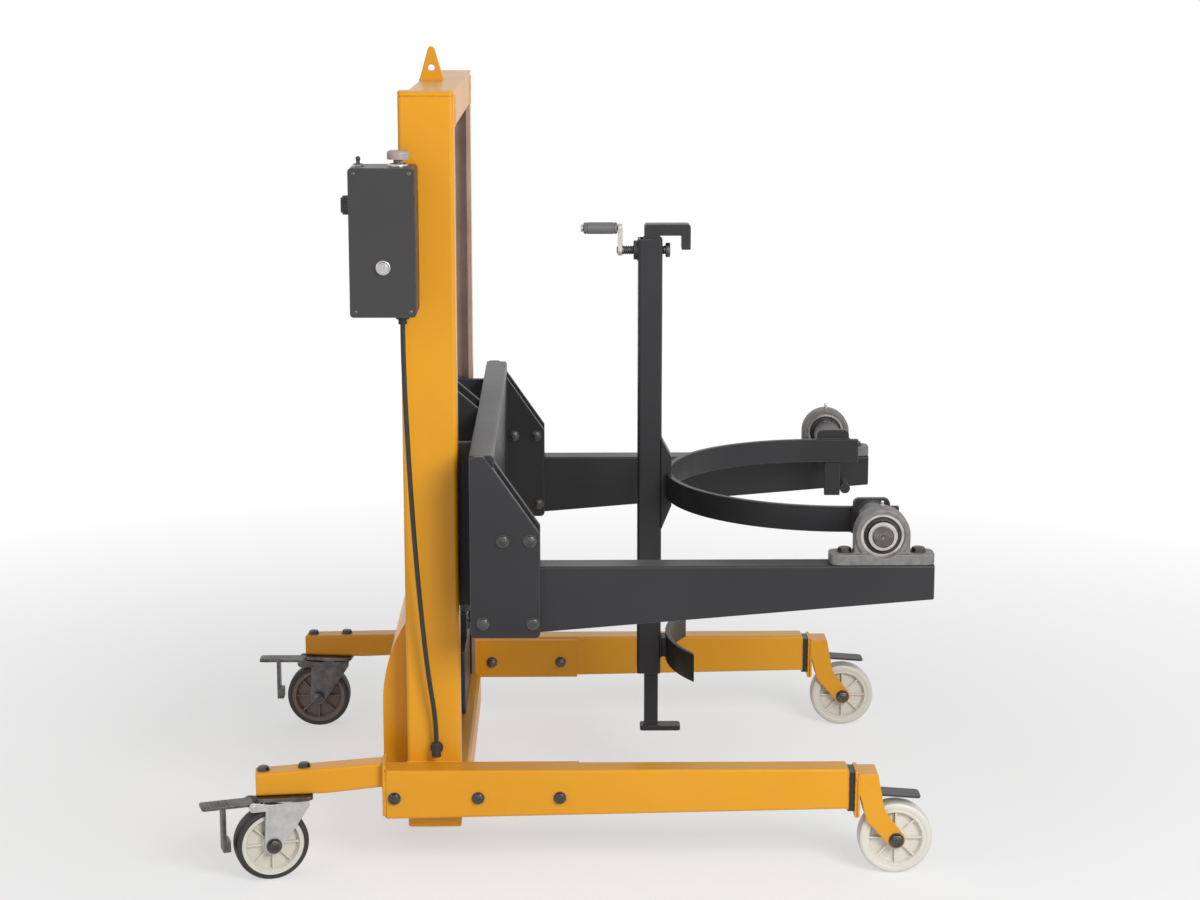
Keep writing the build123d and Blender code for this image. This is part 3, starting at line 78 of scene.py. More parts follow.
# Joint places
PIVOT = Vector(JOINTS["cradle_tilt"]["pos_m"])
SCREW_AT = Vector((0, *JOINTS["clamp_turn"]["pos_m"][1:]))
RIGHT_SWIVEL = math.radians(18)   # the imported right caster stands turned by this
RIGHT_AXLE = Vector((math.sin(RIGHT_SWIVEL), -math.cos(RIGHT_SWIVEL), 0))

# Control cable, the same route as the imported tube
CABLE_ROUTE = [
    (-0.264, -0.428, 0.940), (-0.264, -0.428, 0.880), (-0.2605, -0.425, 0.775),
    (-0.256, -0.420, 0.665), (-0.250, -0.4135, 0.555), (-0.242, -0.406, 0.445),
    (-0.2325, -0.398, 0.340), (-0.221, -0.390, 0.262), (-0.221, -0.390, 0.222),
]
CABLE_WIDTH = 8 * MM


# Node tools

def adjust(thing, **settings):
    """Sets several values of one thing."""
    for name, value in settings.items():
        setattr(thing, name, value)
    return thing


def plug(socket, value):
    """Feeds a socket with a node's first output, any output, a value, or a colour of three numbers."""
    if isinstance(value, bpy.types.Node):
        value = value.outputs[0]
    if isinstance(value, bpy.types.NodeSocket):
        socket.id_data.links.new(value, socket)
    else:
        socket.default_value = (*value, 1) if socket.type == "RGBA" else value


def put(tree, kind, inputs=None, **settings):
    """Adds a node with these settings and inputs."""
    node = adjust(tree.nodes.new(kind), **settings)
    for name, value in (inputs or {}).items():
        plug(node.inputs[name], value)
    return node


def calc(operation, first, second=0.0):
    """Output of a math node, in the tree of the values that it works on."""
    tree = (first if isinstance(first, bpy.types.NodeSocket) else second).id_data
    return put(tree, "ShaderNodeMath", {0: first, 1: second}, operation=operation).outputs[0]


def times(first, second):
    """Product of two values."""
    return calc("MULTIPLY", first, second)


def blend(share, first, second):
    """Colour between two colours."""
    colours = {0: share, 6: first, 7: second}
    return put(share.id_data, "ShaderNodeMix", colours, data_type="RGBA").outputs[2]


def spread(value, low, high, to_low=0.0, to_high=1.0):
    """A value stretched from one range to another and held inside it."""
    ranges = {0: value, 1: low, 2: high, 3: to_low, 4: to_high}
    return put(value.id_data, "ShaderNodeMapRange", ranges).outputs[0]


def noise(place, scale, detail=3.0, rough=0.55):
    """Cloudy pattern, 0 to 1."""
    values = {"Vector": place, "Scale": scale, "Detail": detail, "Roughness": rough}
    return put(place.id_data, "ShaderNodeTexNoise", values).outputs[0]


def own_place(tree):
    """The piece's own coordinates, in metres."""
    return put(tree, "ShaderNodeTexCoord").outputs["Object"]


def face_normal(tree):
    """Direction that the surface faces."""
    return put(tree, "ShaderNodeNewGeometry").outputs["Normal"]


def split(vector):
    """The X, Y and Z outputs of a vector."""
    return put(vector.id_data, "ShaderNodeSeparateXYZ", {0: vector}).outputs


def stretched(place, by):
    """A place multiplied by a vector."""
    return put(place.id_data, "ShaderNodeVectorMath", {0: place, 1: by}, operation="MULTIPLY").outputs[0]


def open_group(name, sliders, results):
    """Empty shader group with number sockets. Gives the tree, its inputs and its outputs."""
    tree = bpy.data.node_groups.new(name, "ShaderNodeTree")
    for label, value in sliders.items():
        socket = tree.interface.new_socket(label, in_out="INPUT", socket_type="NodeSocketFloat")
        socket.default_value = value
    for label in results:
        tree.interface.new_socket(label, in_out="OUTPUT", socket_type="NodeSocketFloat")
    return tree, put(tree, "NodeGroupInput").outputs, put(tree, "NodeGroupOutput").inputs


# Camera, light and floor

def set_camera():
    """The photograph's viewpoint."""
    data = adjust(bpy.data.cameras.new("photo_view"), lens=CAMERA_LENS, sensor_fit="HORIZONTAL")
    SCENE.camera = adjust(add_piece("photo_view", data), location=CAMERA_AT, rotation_euler=CAMERA_TURN)


def area_light(name, place, size, power):
    """Square soft light that looks at the object."""
    data = adjust(bpy.data.lights.new(name, "AREA"), size=size, energy=power)
    turn = (Vector(LIGHT_AIM) - Vector(place)).to_track_quat("-Z", "Y").to_euler()
    adjust(add_piece(name, data), location=place, rotation_euler=turn)


def seen_straight(tree):
    """1 for rays from the camera, and for those that glossy and clear surfaces send on."""
    rays = put(tree, "ShaderNodeLightPath").outputs
    straight = calc("MAXIMUM", rays["Is Camera Ray"], rays["Is Glossy Ray"])
    return calc("MAXIMUM", straight, rays["Is Transmission Ray"])


def set_world():
    """White surroundings that light the object at a plain level."""
    world = bpy.data.worlds.new("white_room")
    SCENE.world = world
    world.use_nodes = True
    tree = world.node_tree
    shade = tree.nodes["Background"]
    plug(shade.inputs["Color"], (1, 1, 1))
    plug(shade.inputs["Strength"], spread(seen_straight(tree), 0, 1, AMBIENT, 1))


def set_floor():
    """Pale floor that keeps the object's soft shadow."""
    bpy.ops.mesh.primitive_plane_add(size=2 * FLOOR_HALF)
    floor = bpy.context.object
    floor.name = "studio_floor"
    finish = bpy.data.materials.new("studio_floor")
    finish.use_nodes = True
    tree = finish.node_tree
    tree.nodes.clear()
    matt = put(tree, "ShaderNodeBsdfDiffuse", {"Color": FLOOR_TONE})
    glow = put(tree, "ShaderNodeEmission", {"Color": (1, 1, 1), "Strength": 1})
    distance = put(tree, "ShaderNodeVectorMath", {0: own_place(tree)}, operation="LENGTH").outputs["Value"]
    white = spread(distance, *FLOOR_FADE, FLOOR_GLOW, 1)
    share = times(seen_straight(tree), white)
    both = put(tree, "ShaderNodeMixShader", {0: share, 1: matt, 2: glow})
    put(tree, "ShaderNodeOutputMaterial", {"Surface": both})
    floor.data.materials.append(finish)


# Shader groups that several finishes share

def edge_wear_group():
    """Chips where the surface turns sharply."""
    tree, given, out = open_group("edge_wear", {"Width": 0.002, "Scale": 60.0, "Amount": 0.5}, ["Mask"])
    rounded = put(tree, "ShaderNodeBevel", {"Radius": given["Width"]}, samples=4)
    faces = {0: rounded, 1: face_normal(tree)}
    turn = put(tree, "ShaderNodeVectorMath", faces, operation="DOT_PRODUCT").outputs["Value"]
    edge = spread(calc("SUBTRACT", 1.0, turn), 0.01, 0.16)
    place = own_place(tree)
    patches = noise(place, given["Scale"], 4.0, 0.65)
    stretches = noise(place, 7.0, 2.0)
    uneven = calc("ADD", patches, times(stretches, 0.5))
    limit = calc("SUBTRACT", 1.0, given["Amount"])
    chips = spread(uneven, limit, calc("ADD", limit, 0.12))
    plug(out["Mask"], times(edge, chips))
    return tree


def dust_group():
    """Dust that settles on upward faces and low down."""
    sliders = {"Scale": 9.0, "Amount": 0.4, "Floor Reach": 0.22}
    tree, given, out = open_group("settled_dust", sliders, ["Mask"])
    place = own_place(tree)
    lying = spread(split(face_normal(tree))["Z"], 0.35, 0.95)
    low = spread(split(place)["Z"], 0.0, given["Floor Reach"], 0.55, 0.0)
    clouds = spread(noise(place, given["Scale"], 5.0, 0.62), 0.36, 0.72)
    specks = spread(noise(place, 420.0, 2.0), 0.25, 0.75, 0.55, 1.0)
    laid = times(calc("MAXIMUM", lying, low), clouds)
    laid = times(laid, specks)
    plug(out["Mask"], times(laid, given["Amount"]))
    return tree


def paint_skin_group():
    """Slow drift of tone over a painted face, and the fine peel of its skin."""
    sliders = {"Peel Scale": 330.0, "Drift Scale": 2.6}
    tree, given, out = open_group("paint_skin", sliders, ["Drift", "Height"])
    place = own_place(tree)
    peel = noise(place, given["Peel Scale"], 2.0, 0.5)
    sag = noise(place, 38.0, 2.0, 0.4)
    height = calc("ADD", times(peel, 0.6), times(sag, 0.8))
    plug(out["Drift"], noise(place, given["Drift Scale"], 4.0, 0.5))
    plug(out["Height"], height)
    return tree


def metal_grain_group():
    """Fine scratches and blotches of bare or plated metal."""
    sliders = {"Scale": 240.0, "Stretch": 14.0}
    tree, given, out = open_group("metal_grain", sliders, ["Blotch", "Scratch"])
    place = own_place(tree)
    squeeze = put(tree, "ShaderNodeCombineXYZ", {0: 1.0, 1: given["Stretch"], 2: given["Stretch"]})
    drawn = stretched(place, squeeze)
    plug(out["Blotch"], noise(place, 46.0, 4.0, 0.6))
    plug(out["Scratch"], noise(drawn, given["Scale"], 3.0, 0.7))
    return tree


EDGE_WEAR = edge_wear_group()
DUST = dust_group()
PAINT_SKIN = paint_skin_group()
METAL_GRAIN = metal_grain_group()
CLOUDS = 0.3, 0.7             # the part of a cloudy pattern's range that most of it lies in


def use(tree, group, **sliders):
    """Places a shared group with this finish's own values, and gives its outputs."""
    node = put(tree, "ShaderNodeGroup", node_tree=group)
    for name, value in sliders.items():
        plug(node.inputs[name.replace("_", " ").title()], value)
    return node.outputs


def bump(shader, height, distance):
    """Lets a height pattern tilt the surface."""
    values = {"Height": height, "Distance": distance, "Strength": 1.0}
    plug(shader.inputs["Normal"], put(shader.id_data, "ShaderNodeBump", values))


def feed(shader, **sockets):
    """Plugs the shader's sockets."""
    for name, value in sockets.items():
        plug(shader.inputs[name.replace("_", " ")], value)


# Finishes

FINISH = {}
COLUMN_WALL = 8 * MM
# brown tones painted on the columns' inner faces as their shade
TRACK_SHADE = (0.29, 0.195, 0.155), (0.47, 0.345, 0.29)
PLASTIC_DUST = (0.42, 0.39, 0.34)
CASTING_DUST = (0.40, 0.37, 0.32)
CASTING_EDGE = (0.45, 0.44, 0.43)


def open_finish(name):
    """New finish. Gives its node tree and its Principled shader."""
    finish = bpy.data.materials.new(name)
    finish.use_nodes = True
    FINISH[name] = finish
    return finish.node_tree, finish.node_tree.nodes["Principled BSDF"]


def track_mask(tree):
    """1 on the inner faces of the columns, where the mast rollers run."""
    place = split(own_place(tree))
    outward = times(split(face_normal(tree))["Y"], calc("SIGN", place["Y"]))
    inward = calc("LESS_THAN", outward, -0.5)
    low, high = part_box("column_left")
    off_axis = calc("ABSOLUTE", calc("SUBTRACT", place["X"], (low.x + high.x) / 2))
    between = calc("LESS_THAN", off_axis, (high.x - low.x) / 2 - COLUMN_WALL / 2)
    inside = calc("LESS_THAN", calc("ABSOLUTE", place["Y"]), high.y - COLUMN_WALL / 2)
    return calc("MAXIMUM", inward, times(between, inside))


def track_shade(tree, colour):
    """Painted shade on the roller tracks inside the columns: darker brown tones in fine upright lines and
    soft patches.
    """
    place = own_place(tree)
    lines = noise(stretched(place, (1.0, 1.0, 0.02)), 420.0, 2.0)
    patches = spread(noise(place, 11.0, 4.0, 0.6), *CLOUDS)
    share = calc("ADD", times(lines, 0.3), times(patches, 0.7))
    return blend(track_mask(tree), colour, blend(share, *TRACK_SHADE))


def paint(name, light, deep, bare, dust_tone, gloss, coat, chips, dust, painted_shade=None):
    """Sprayed paint: two tones that drift, peel, chips down to what is under it, dust, and any painted shade
    laid over it.
    """
    tree, shader = open_finish(name)
    skin = use(tree, PAINT_SKIN)
    worn = use(tree, EDGE_WEAR, amount=chips)["Mask"]
    settled = use(tree, DUST, amount=dust)["Mask"]
    colour = blend(spread(skin["Drift"], *CLOUDS), deep, light)
    # painted shade, where a finish has it, goes over the paint's own tones
    if painted_shade:
        colour = painted_shade(tree, colour)
    colour = blend(settled, colour, dust_tone)
    colour = blend(worn, colour, bare)
    sheen = spread(skin["Drift"], *CLOUDS, gloss + 0.05, gloss - 0.04)
    dull = calc("MAXIMUM", sheen, times(settled, 0.95))
    rough = calc("MAXIMUM", dull, times(worn, 0.5))
    clean = calc("SUBTRACT", 1.0, settled)
    feed(shader, Base_Color=colour, Roughness=rough, Metallic=times(worn, 0.7),
         Coat_Weight=times(clean, coat), Coat_Roughness=0.1, Specular_IOR_Level=0.3)
    bump(shader, calc("SUBTRACT", skin["Height"], worn), 0.12 * MM)


def metal(name, tone, dark, gloss, stretch=14.0, scratch=0.16, edge=(0.5, 0.48, 0.45)):
    """Bare or plated steel with blotches, fine drawn scratches and rubbed edges."""
    tree, shader = open_finish(name)
    grain = use(tree, METAL_GRAIN, stretch=stretch)
    worn = use(tree, EDGE_WEAR, amount=0.55)["Mask"]
    colour = blend(spread(grain["Blotch"], 0.32, 0.68), dark, tone)
    colour = blend(times(worn, 0.6), colour, edge)
    rough = calc("ADD", gloss - scratch / 2, times(grain["Scratch"], scratch))
    feed(shader, Base_Color=colour, Metallic=1.0, Roughness=rough)
    bump(shader, grain["Scratch"], 0.03 * MM)


def moulded(name, tone, deep, gloss, grain_scale, grain_depth, dust=0.2):
    """Moulded plastic, nylon or rubber with a fine skin."""
    tree, shader = open_finish(name)
    skin = use(tree, PAINT_SKIN, peel_scale=grain_scale)
    settled = use(tree, DUST, amount=dust)["Mask"]
    worn = use(tree, EDGE_WEAR, amount=0.3)["Mask"]
    colour = blend(spread(skin["Drift"], *CLOUDS), deep, tone)
    colour = blend(times(worn, 0.35), colour, PLASTIC_DUST)
    colour = blend(settled, colour, PLASTIC_DUST)
    rough = spread(skin["Drift"], *CLOUDS, gloss - 0.05, gloss + 0.06)
    feed(shader, Base_Color=colour, Roughness=calc("MAXIMUM", rough, settled))
    bump(shader, skin["Height"], grain_depth)


def cast(name, tone, deep):
    """Painted sand casting: coarse skin, dark pits and dull sheen."""
    tree, shader = open_finish(name)
    place = own_place(tree)
    sand = noise(place, 520.0, 4.0, 0.7)
    lumps = noise(place, 85.0, 3.0, 0.5)
    settled = use(tree, DUST, amount=0.3)["Mask"]
    worn = use(tree, EDGE_WEAR, amount=0.5)["Mask"]
    colour = blend(spread(lumps, *CLOUDS), deep, tone)
    colour = blend(settled, colour, CASTING_DUST)
    colour = blend(times(worn, 0.6), colour, CASTING_EDGE)
    feed(shader, Base_Color=colour, Roughness=spread(sand, *CLOUDS, 0.42, 0.62))
    bump(shader, calc("ADD", sand, times(lumps, 1.5)), 0.3 * MM)


ORANGE = dict(
    light=(0.77, 0.345, 0.010), deep=(0.71, 0.30, 0.008), bare=(0.13, 0.10, 0.08),
    dust_tone=(0.60, 0.43, 0.20), gloss=0.36, coat=0.12, chips=0.34, dust=0.22,
)
BLACK = dict(
    light=(0.027, 0.027, 0.030), deep=(0.017, 0.017, 0.019), bare=(0.15, 0.14, 0.135),
    dust_tone=(0.13, 0.118, 0.11), gloss=0.42, coat=0.08, chips=0.40, dust=0.26,
)
DARK_EDGE = (0.24, 0.23, 0.22)
paint("frame_paint", **ORANGE)
# column paint with painted shade on the roller tracks inside the channels
paint("column_paint", **ORANGE, painted_shade=track_shade)
paint("black_paint", **BLACK)
metal("bolt_steel", (0.12, 0.115, 0.11), (0.055, 0.052, 0.05), 0.42, edge=DARK_EDGE)
metal("oiled_steel", (0.16, 0.155, 0.15), (0.08, 0.076, 0.072), 0.36, edge=DARK_EDGE)
metal("caster_steel", (0.17, 0.16, 0.16), (0.07, 0.065, 0.065), 0.46, edge=DARK_EDGE)
# a pale copy of the caster steel, painted lit for the near caster fork; the far fork keeps the dark caster
# steel as its painted shade
metal("caster_steel_painted_lit", (0.60, 0.60, 0.59), (0.45, 0.45, 0.44), 0.40)
metal("bright_steel", (0.62, 0.60, 0.58), (0.44, 0.42, 0.40), 0.30)
metal("ram_chrome", (0.72, 0.72, 0.72), (0.62, 0.62, 0.62), 0.13, stretch=3.0, scratch=0.06)
metal("switch_metal", (0.66, 0.65, 0.63), (0.50, 0.49, 0.47), 0.24)
cast("cast_grey", (0.21, 0.20, 0.20), (0.13, 0.12, 0.12))
# grey_wheel: the far caster wheel's nylon darkened as its painted shade
moulded("grey_wheel", (0.20, 0.155, 0.145), (0.155, 0.115, 0.105), 0.50, 700.0, 0.06 * MM)
moulded("nylon", (0.74, 0.71, 0.64), (0.64, 0.60, 0.52), 0.40, 700.0, 0.06 * MM, dust=0.35)
moulded("black_plastic", (0.036, 0.034, 0.035), (0.026, 0.024, 0.025), 0.44, 900.0, 0.08 * MM)
moulded("grey_plastic", (0.17, 0.165, 0.165), (0.13, 0.125, 0.125), 0.40, 900.0, 0.06 * MM)
moulded("pale_plastic", (0.44, 0.36, 0.34), (0.37, 0.30, 0.28), 0.40, 900.0, 0.06 * MM)
moulded("black_rubber", (0.022, 0.021, 0.020), (0.014, 0.014, 0.014), 0.62, 600.0, 0.1 * MM)

# Nodes whose finish is not their slot's
# caster_fork_right takes the pale steel that is painted lit
OWN_FINISH = {
    "column_left": "column_paint", "column_right": "column_paint", "clamp_pad": "oiled_steel",
    "clamp_screw": "oiled_steel", "push_button": "pale_plastic", "caster_fork_right": "caster_steel_painted_lit",
}


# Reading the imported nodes

def joined(node):
    """A node's triangles with their corners joined, to be edited."""
    work = bmesh.new()
    work.from_mesh(NODES[node].data)
    bmesh.ops.remove_doubles(work, verts=work.verts, dist=JOIN_WITHIN)
    return work


def loose_parts(work):
    """Sets of corners that hang together."""
    left = set(work.verts)
    while left:
        waiting = [left.pop()]
        part = set(waiting)
        while waiting:
            corner = waiting.pop()
            near = {edge.other_vert(corner) for edge in corner.link_edges} & left
            left -= near
            part |= near
            waiting += near
        yield part


def keep_part(work, wanted):
    """Drops all but one of the loose parts."""
    unwanted = [corner for corner in work.verts if corner not in wanted]
    bmesh.ops.delete(work, geom=unwanted, context="VERTS")


def span(corners):
    """Lowest and highest place of some corners."""
    places = list(zip(*(corner.co for corner in corners)))
    return Vector(map(min, places)), Vector(map(max, places))


def bulk(corners):
    """Size of the box round some corners."""
    low, high = span(corners)
    size = high - low
    return size.x * size.y * size.z


def solids(node):
    """Boxes of a node's separate solids, the lowest first."""
    work = joined(node)
    boxes = sorted((span(part) for part in loose_parts(work)), key=lambda box: box[0].z)
    work.free()
    return boxes


def limits(node, axis):
    """A node's box limits on one axis."""
    low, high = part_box(node)
    return low[axis], high[axis]


def middle(node):
    """Centre of a node's box."""
    low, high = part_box(node)
    return (low + high) / 2


def half_size(node):
    """Half of a node's box, in millimetres."""
    low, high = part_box(node)
    return (high - low) / 2 / MM


# Mesh tools

def add_piece(name, data):
    """New object at the origin."""
    piece = bpy.data.objects.new(name, data)
    SCENE.collection.objects.link(piece)
    return piece


def close_mesh(work, name):
    """Joins the corners of a built mesh, points its faces outwards and shades it."""
    bmesh.ops.remove_doubles(work, verts=work.verts, dist=JOIN_WITHIN)
    bmesh.ops.recalc_face_normals(work, faces=work.faces)
    mesh = bpy.data.meshes.new(name)
    work.to_mesh(mesh)
    work.free()
    mesh.shade_smooth()
    mesh.set_sharp_from_angle(angle=SHARP_FROM)
    return mesh


def combine(name, *meshes):
    """One mesh out of several; faces keep their finish numbers."""
    work = bmesh.new()
    for mesh in meshes:
        work.from_mesh(mesh)
    whole = bpy.data.meshes.new(name)
    work.to_mesh(whole)
    work.free()
    return whole


def merge_flats(work):
    """Joins flat faces over the edges between them, those that lie closest to a sharp edge first."""
    flat = {edge for edge in work.edges if edge.calc_face_angle(math.pi) < FLAT_WITHIN}

    def slant(edge):
        line = (edge.verts[1].co - edge.verts[0].co).normalized()
        least = 1.0
        for corner in edge.verts:
            for other in set(corner.link_edges) - flat:
                reach = (other.other_vert(corner).co - corner.co).normalized()
                least = min(least, line.cross(reach).length)
        return least

    for edge in sorted(flat, key=slant):
        if edge.is_valid and len(edge.link_faces) == 2:
            bmesh.utils.face_join(edge.link_faces)


def spokes(count):
    """Directions evenly set out round Z."""
    turns = [math.tau * step / count for step in range(count)]
    return [Vector((math.cos(turn), math.sin(turn), 0)) for turn in turns]


def facing(centre, axis):
    """Places a shape that is built upright so that its own Z lies along an axis."""
    return Matrix.Translation(centre) @ Vector(axis).to_track_quat("Z", "Y").to_matrix().to_4x4()


def add_turned(work, profile, centre=ORIGIN, axis=AXIS_Z, steps=64, unit=MM):
    """Turns a closed line about an axis. Its points are (along, radius), or have a finish number too."""
    place = facing(centre, axis)
    points = [(*point, 0)[:3] for point in profile]
    rows = []
    for out in spokes(steps):
        corners = [(out * radius + AXIS_Z * along) * unit for along, radius, number in points]
        rows.append([work.verts.new(place @ corner) for corner in corners])
    for row, following in zip(rows, rows[1:] + rows[:1]):
        for index, point in enumerate(points):
            ahead = (index + 1) % len(points)
            if point[1] or points[ahead][1]:
                face = work.faces.new((row[index], row[ahead], following[ahead], following[index]))
                face.material_index = point[2]


def turned(name, profile, centre=ORIGIN, axis=AXIS_Z, steps=64, unit=MM):
    """Mesh of one turned shape."""
    work = bmesh.new()
    add_turned(work, profile, centre, axis, steps, unit)
    return close_mesh(work, name)


def both_ends(side):
    """Whole profile from the half of it on one side of the middle plane."""
    points = [(*point, 0)[:3] for point in side]
    numbers = [points[0][2]] + [number for along, radius, number in points]
    other = [(-along, radius, before) for (along, radius, number), before in zip(points, numbers)]
    return points + other[::-1]


# Finished pieces

def round_edges(piece, width):
    """Rounds a piece's sharp edges and keeps its flats flat."""
    adjust(piece.modifiers.new("rounded_edges", "BEVEL"), width=width, segments=2, limit_method="ANGLE",
           angle_limit=SHARP_FROM, use_clamp_overlap=False, miter_outer="MITER_ARC")
    adjust(piece.modifiers.new("flat_faces", "WEIGHTED_NORMAL"), weight=90, keep_sharp=True)


def soften(piece, grain, rounds):
    """Gives a piece a fine even mesh and smooths it, for soft cast or moulded corners."""
    skin = piece.modifiers.new("even_skin", "REMESH")
    adjust(skin, mode="VOXEL", voxel_size=grain, use_smooth_shade=True)
    adjust(piece.modifiers.new("soft_corners", "SMOOTH"), factor=0.5, iterations=rounds)


def settle(piece, body, slot, *nodes):
    """Gives a piece its slot's finish, unless it has one, puts it on its body, and hides the nodes it stands
    for.
    """
    if not piece.data.materials:
        piece.data.materials.append(FINISH[slot])
    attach(piece, body)
    if nodes:
        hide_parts(*nodes)


def make(name, mesh, body, slot, finishes=(), rounding=0.0, nodes=()):
    """Finished piece from a mesh; the finishes are those that its faces' numbers point to."""
    piece = add_piece(name, mesh)
    for finish in finishes:
        mesh.materials.append(FINISH[finish])
    if rounding:
        round_edges(piece, rounding)
    settle(piece, body, slot, *nodes)


def stand_in(node, mesh, finishes=(), rounding=0.0):
    """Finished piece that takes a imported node's place."""
    slot = SLOT_OF[node]
    finishes = finishes or [OWN_FINISH.get(node, slot)]
    make(f"{node}_finished", mesh, BODY_OF[node], slot, finishes, rounding, [node])


def dress(node, rounding):
    """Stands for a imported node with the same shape, its edges rounded."""
    work = joined(node)
    merge_flats(work)
    stand_in(node, close_mesh(work, node), rounding=rounding)


# Geometry trees

def open_tree(name, inputs):
    """Empty geometry tree with these named inputs and one geometry output."""
    tree = bpy.data.node_groups.new(name, "GeometryNodeTree")
    for label, kind in inputs.items():
        tree.interface.new_socket(label, in_out="INPUT", socket_type=f"NodeSocket{kind}")
    tree.interface.new_socket("Result", in_out="OUTPUT", socket_type="NodeSocketGeometry")
    return tree, put(tree, "NodeGroupInput").outputs


def end_tree(tree, geometry, finish):
    """Makes the shapes real, gives them their finish and sends them out."""
    real = put(tree, "GeometryNodeRealizeInstances", {"Geometry": geometry})
    coloured = put(tree, "GeometryNodeSetMaterial", {"Geometry": real, "Material": finish})
    put(tree, "NodeGroupOutput", {0: coloured})
    return tree


def point_value(tree, name):
    """A vector that each point carries."""
    return put(tree, "GeometryNodeInputNamedAttribute", {"Name": name}, data_type="FLOAT_VECTOR")


def fastener_tree():
    """Sets a shape on every point, turned and stretched as the point's own values say."""
    inputs = {"Places": "Geometry", "Shape": "Object", "Finish": "Material"}
    tree, given = open_tree("set_out_fasteners", inputs)
    shape = put(tree, "GeometryNodeObjectInfo", {"Object": given["Shape"]})
    pointing = {"Vector": point_value(tree, "pointing")}
    turn = put(tree, "FunctionNodeAlignRotationToVector", pointing, axis="Z")
    shapes = put(tree, "GeometryNodeInstanceOnPoints", {
        "Points": given["Places"], "Instance": shape.outputs["Geometry"],
        "Rotation": turn, "Scale": point_value(tree, "stretch")})
    return end_tree(tree, shapes, given["Finish"])


def weld_tree():
    """Rippled bead along lines of edges."""
    tree, given = open_tree("weld_bead", {
        "Lines": "Geometry", "Bead Radius": "Float", "Ripple Pitch": "Float", "Finish": "Material"})
    line = put(tree, "GeometryNodeMeshToCurve", {"Mesh": given["Lines"]})
    step = times(given["Ripple Pitch"], 0.3)
    fine = put(tree, "GeometryNodeResampleCurve", {"Curve": line, "Length": step}, mode="LENGTH")
    along = put(tree, "GeometryNodeSplineParameter").outputs["Length"]
    turns = calc("DIVIDE", along, given["Ripple Pitch"])
    wave = calc("SINE", times(turns, math.tau))
    place = put(tree, "GeometryNodeInputPosition").outputs[0]
    uneven = spread(noise(place, 90.0, 2.0), 0.25, 0.75, 0.82, 1.12)
    ripple = calc("ADD", 0.94, times(wave, 0.09))
    size = times(times(given["Bead Radius"], uneven), ripple)
    section = put(tree, "GeometryNodeCurvePrimitiveCircle", {"Resolution": 8, "Radius": 1.0})
    bead = put(tree, "GeometryNodeCurveToMesh", {
        "Curve": fine, "Profile Curve": section, "Scale": size, "Fill Caps": True})
    return end_tree(tree, bead, given["Finish"])


def rib_ring_tree():
    """Bars set out round a circle, each pointing outwards."""
    tree, given = open_tree("ring_of_ribs", {
        "Start": "Geometry", "Count": "Int", "Ring Radius": "Float", "Rib Size": "Vector",
        "Finish": "Material"})
    ring = put(tree, "GeometryNodeMeshCircle", {"Vertices": given["Count"], "Radius": given["Ring Radius"]})
    bar = put(tree, "GeometryNodeMeshCube", {"Size": given["Rib Size"]})
    outwards = put(tree, "GeometryNodeInputPosition")
    turn = put(tree, "FunctionNodeAlignRotationToVector", {"Vector": outwards}, axis="X", pivot_axis="Z")
    bars = put(tree, "GeometryNodeInstanceOnPoints", {"Points": ring, "Instance": bar, "Rotation": turn})
    return end_tree(tree, bars, given["Finish"])


SET_OUT = fastener_tree()
WELD_BEAD = weld_tree()
RIB_RING = rib_ring_tree()


def grow(tree, source, values):
    """Mesh that a geometry tree makes from a source mesh with these values."""
    piece = add_piece("growing", source)
    modifier = piece.modifiers.new("grow", "NODES")
    modifier.node_group = tree
    for socket in tree.interface.items_tree:
        if socket.in_out == "INPUT" and socket.name in values:
            modifier[socket.identifier] = values[socket.name]
    mesh = bpy.data.meshes.new_from_object(piece.evaluated_get(bpy.context.evaluated_depsgraph_get()))
    bpy.data.objects.remove(piece)
    return mesh


def set_out(shape, places, slot):
    """Mesh of one shape at many (place, pointing, stretch) points."""
    points = bpy.data.meshes.new("places")
    points.from_pydata([place for place, pointing, stretch in places], [], [])
    for label, column in (("pointing", 1), ("stretch", 2)):
        values = points.attributes.new(label, "FLOAT_VECTOR", "POINT")
        values.data.foreach_set("vector", [number for entry in places for number in entry[column]])
    pattern = bpy.data.objects.new("pattern", shape)
    mesh = grow(SET_OUT, points, {"Shape": pattern, "Finish": FINISH[slot]})
    bpy.data.objects.remove(pattern)
    return mesh


def even(size):
    """Stretch of a shape that grows the same in every direction."""
    return Vector((size, size, size))


def rib_ring(slot, centre, axis, count, radius, bar):
    """Mesh of ribs round an axis. A bar is its length outwards, width and height, in millimetres."""
    ribs = grow(RIB_RING, bpy.data.meshes.new("start"), {
        "Count": count, "Ring Radius": radius * MM, "Rib Size": Vector(bar) * MM, "Finish": FINISH[slot]})
    ribs.transform(facing(centre, axis))
    return ribs


# Fasteners, for a thread size of 1

HEX_R = 0.92                  # shares of the thread size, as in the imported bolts
HEAD_HEIGHT = 0.65
NUT_HEIGHT = 0.8
THREAD_TAIL = 1.1
THREAD_STEP = 0.1
THREAD_TURNS = 3              # turns at a bolt's end, the first of them inside the nut
WASHER_R, WASHER, WASHER_EDGE = 1.08, 0.16, 0.03
HEAD_CORNERS = 12             # corners of a packed bolt's head


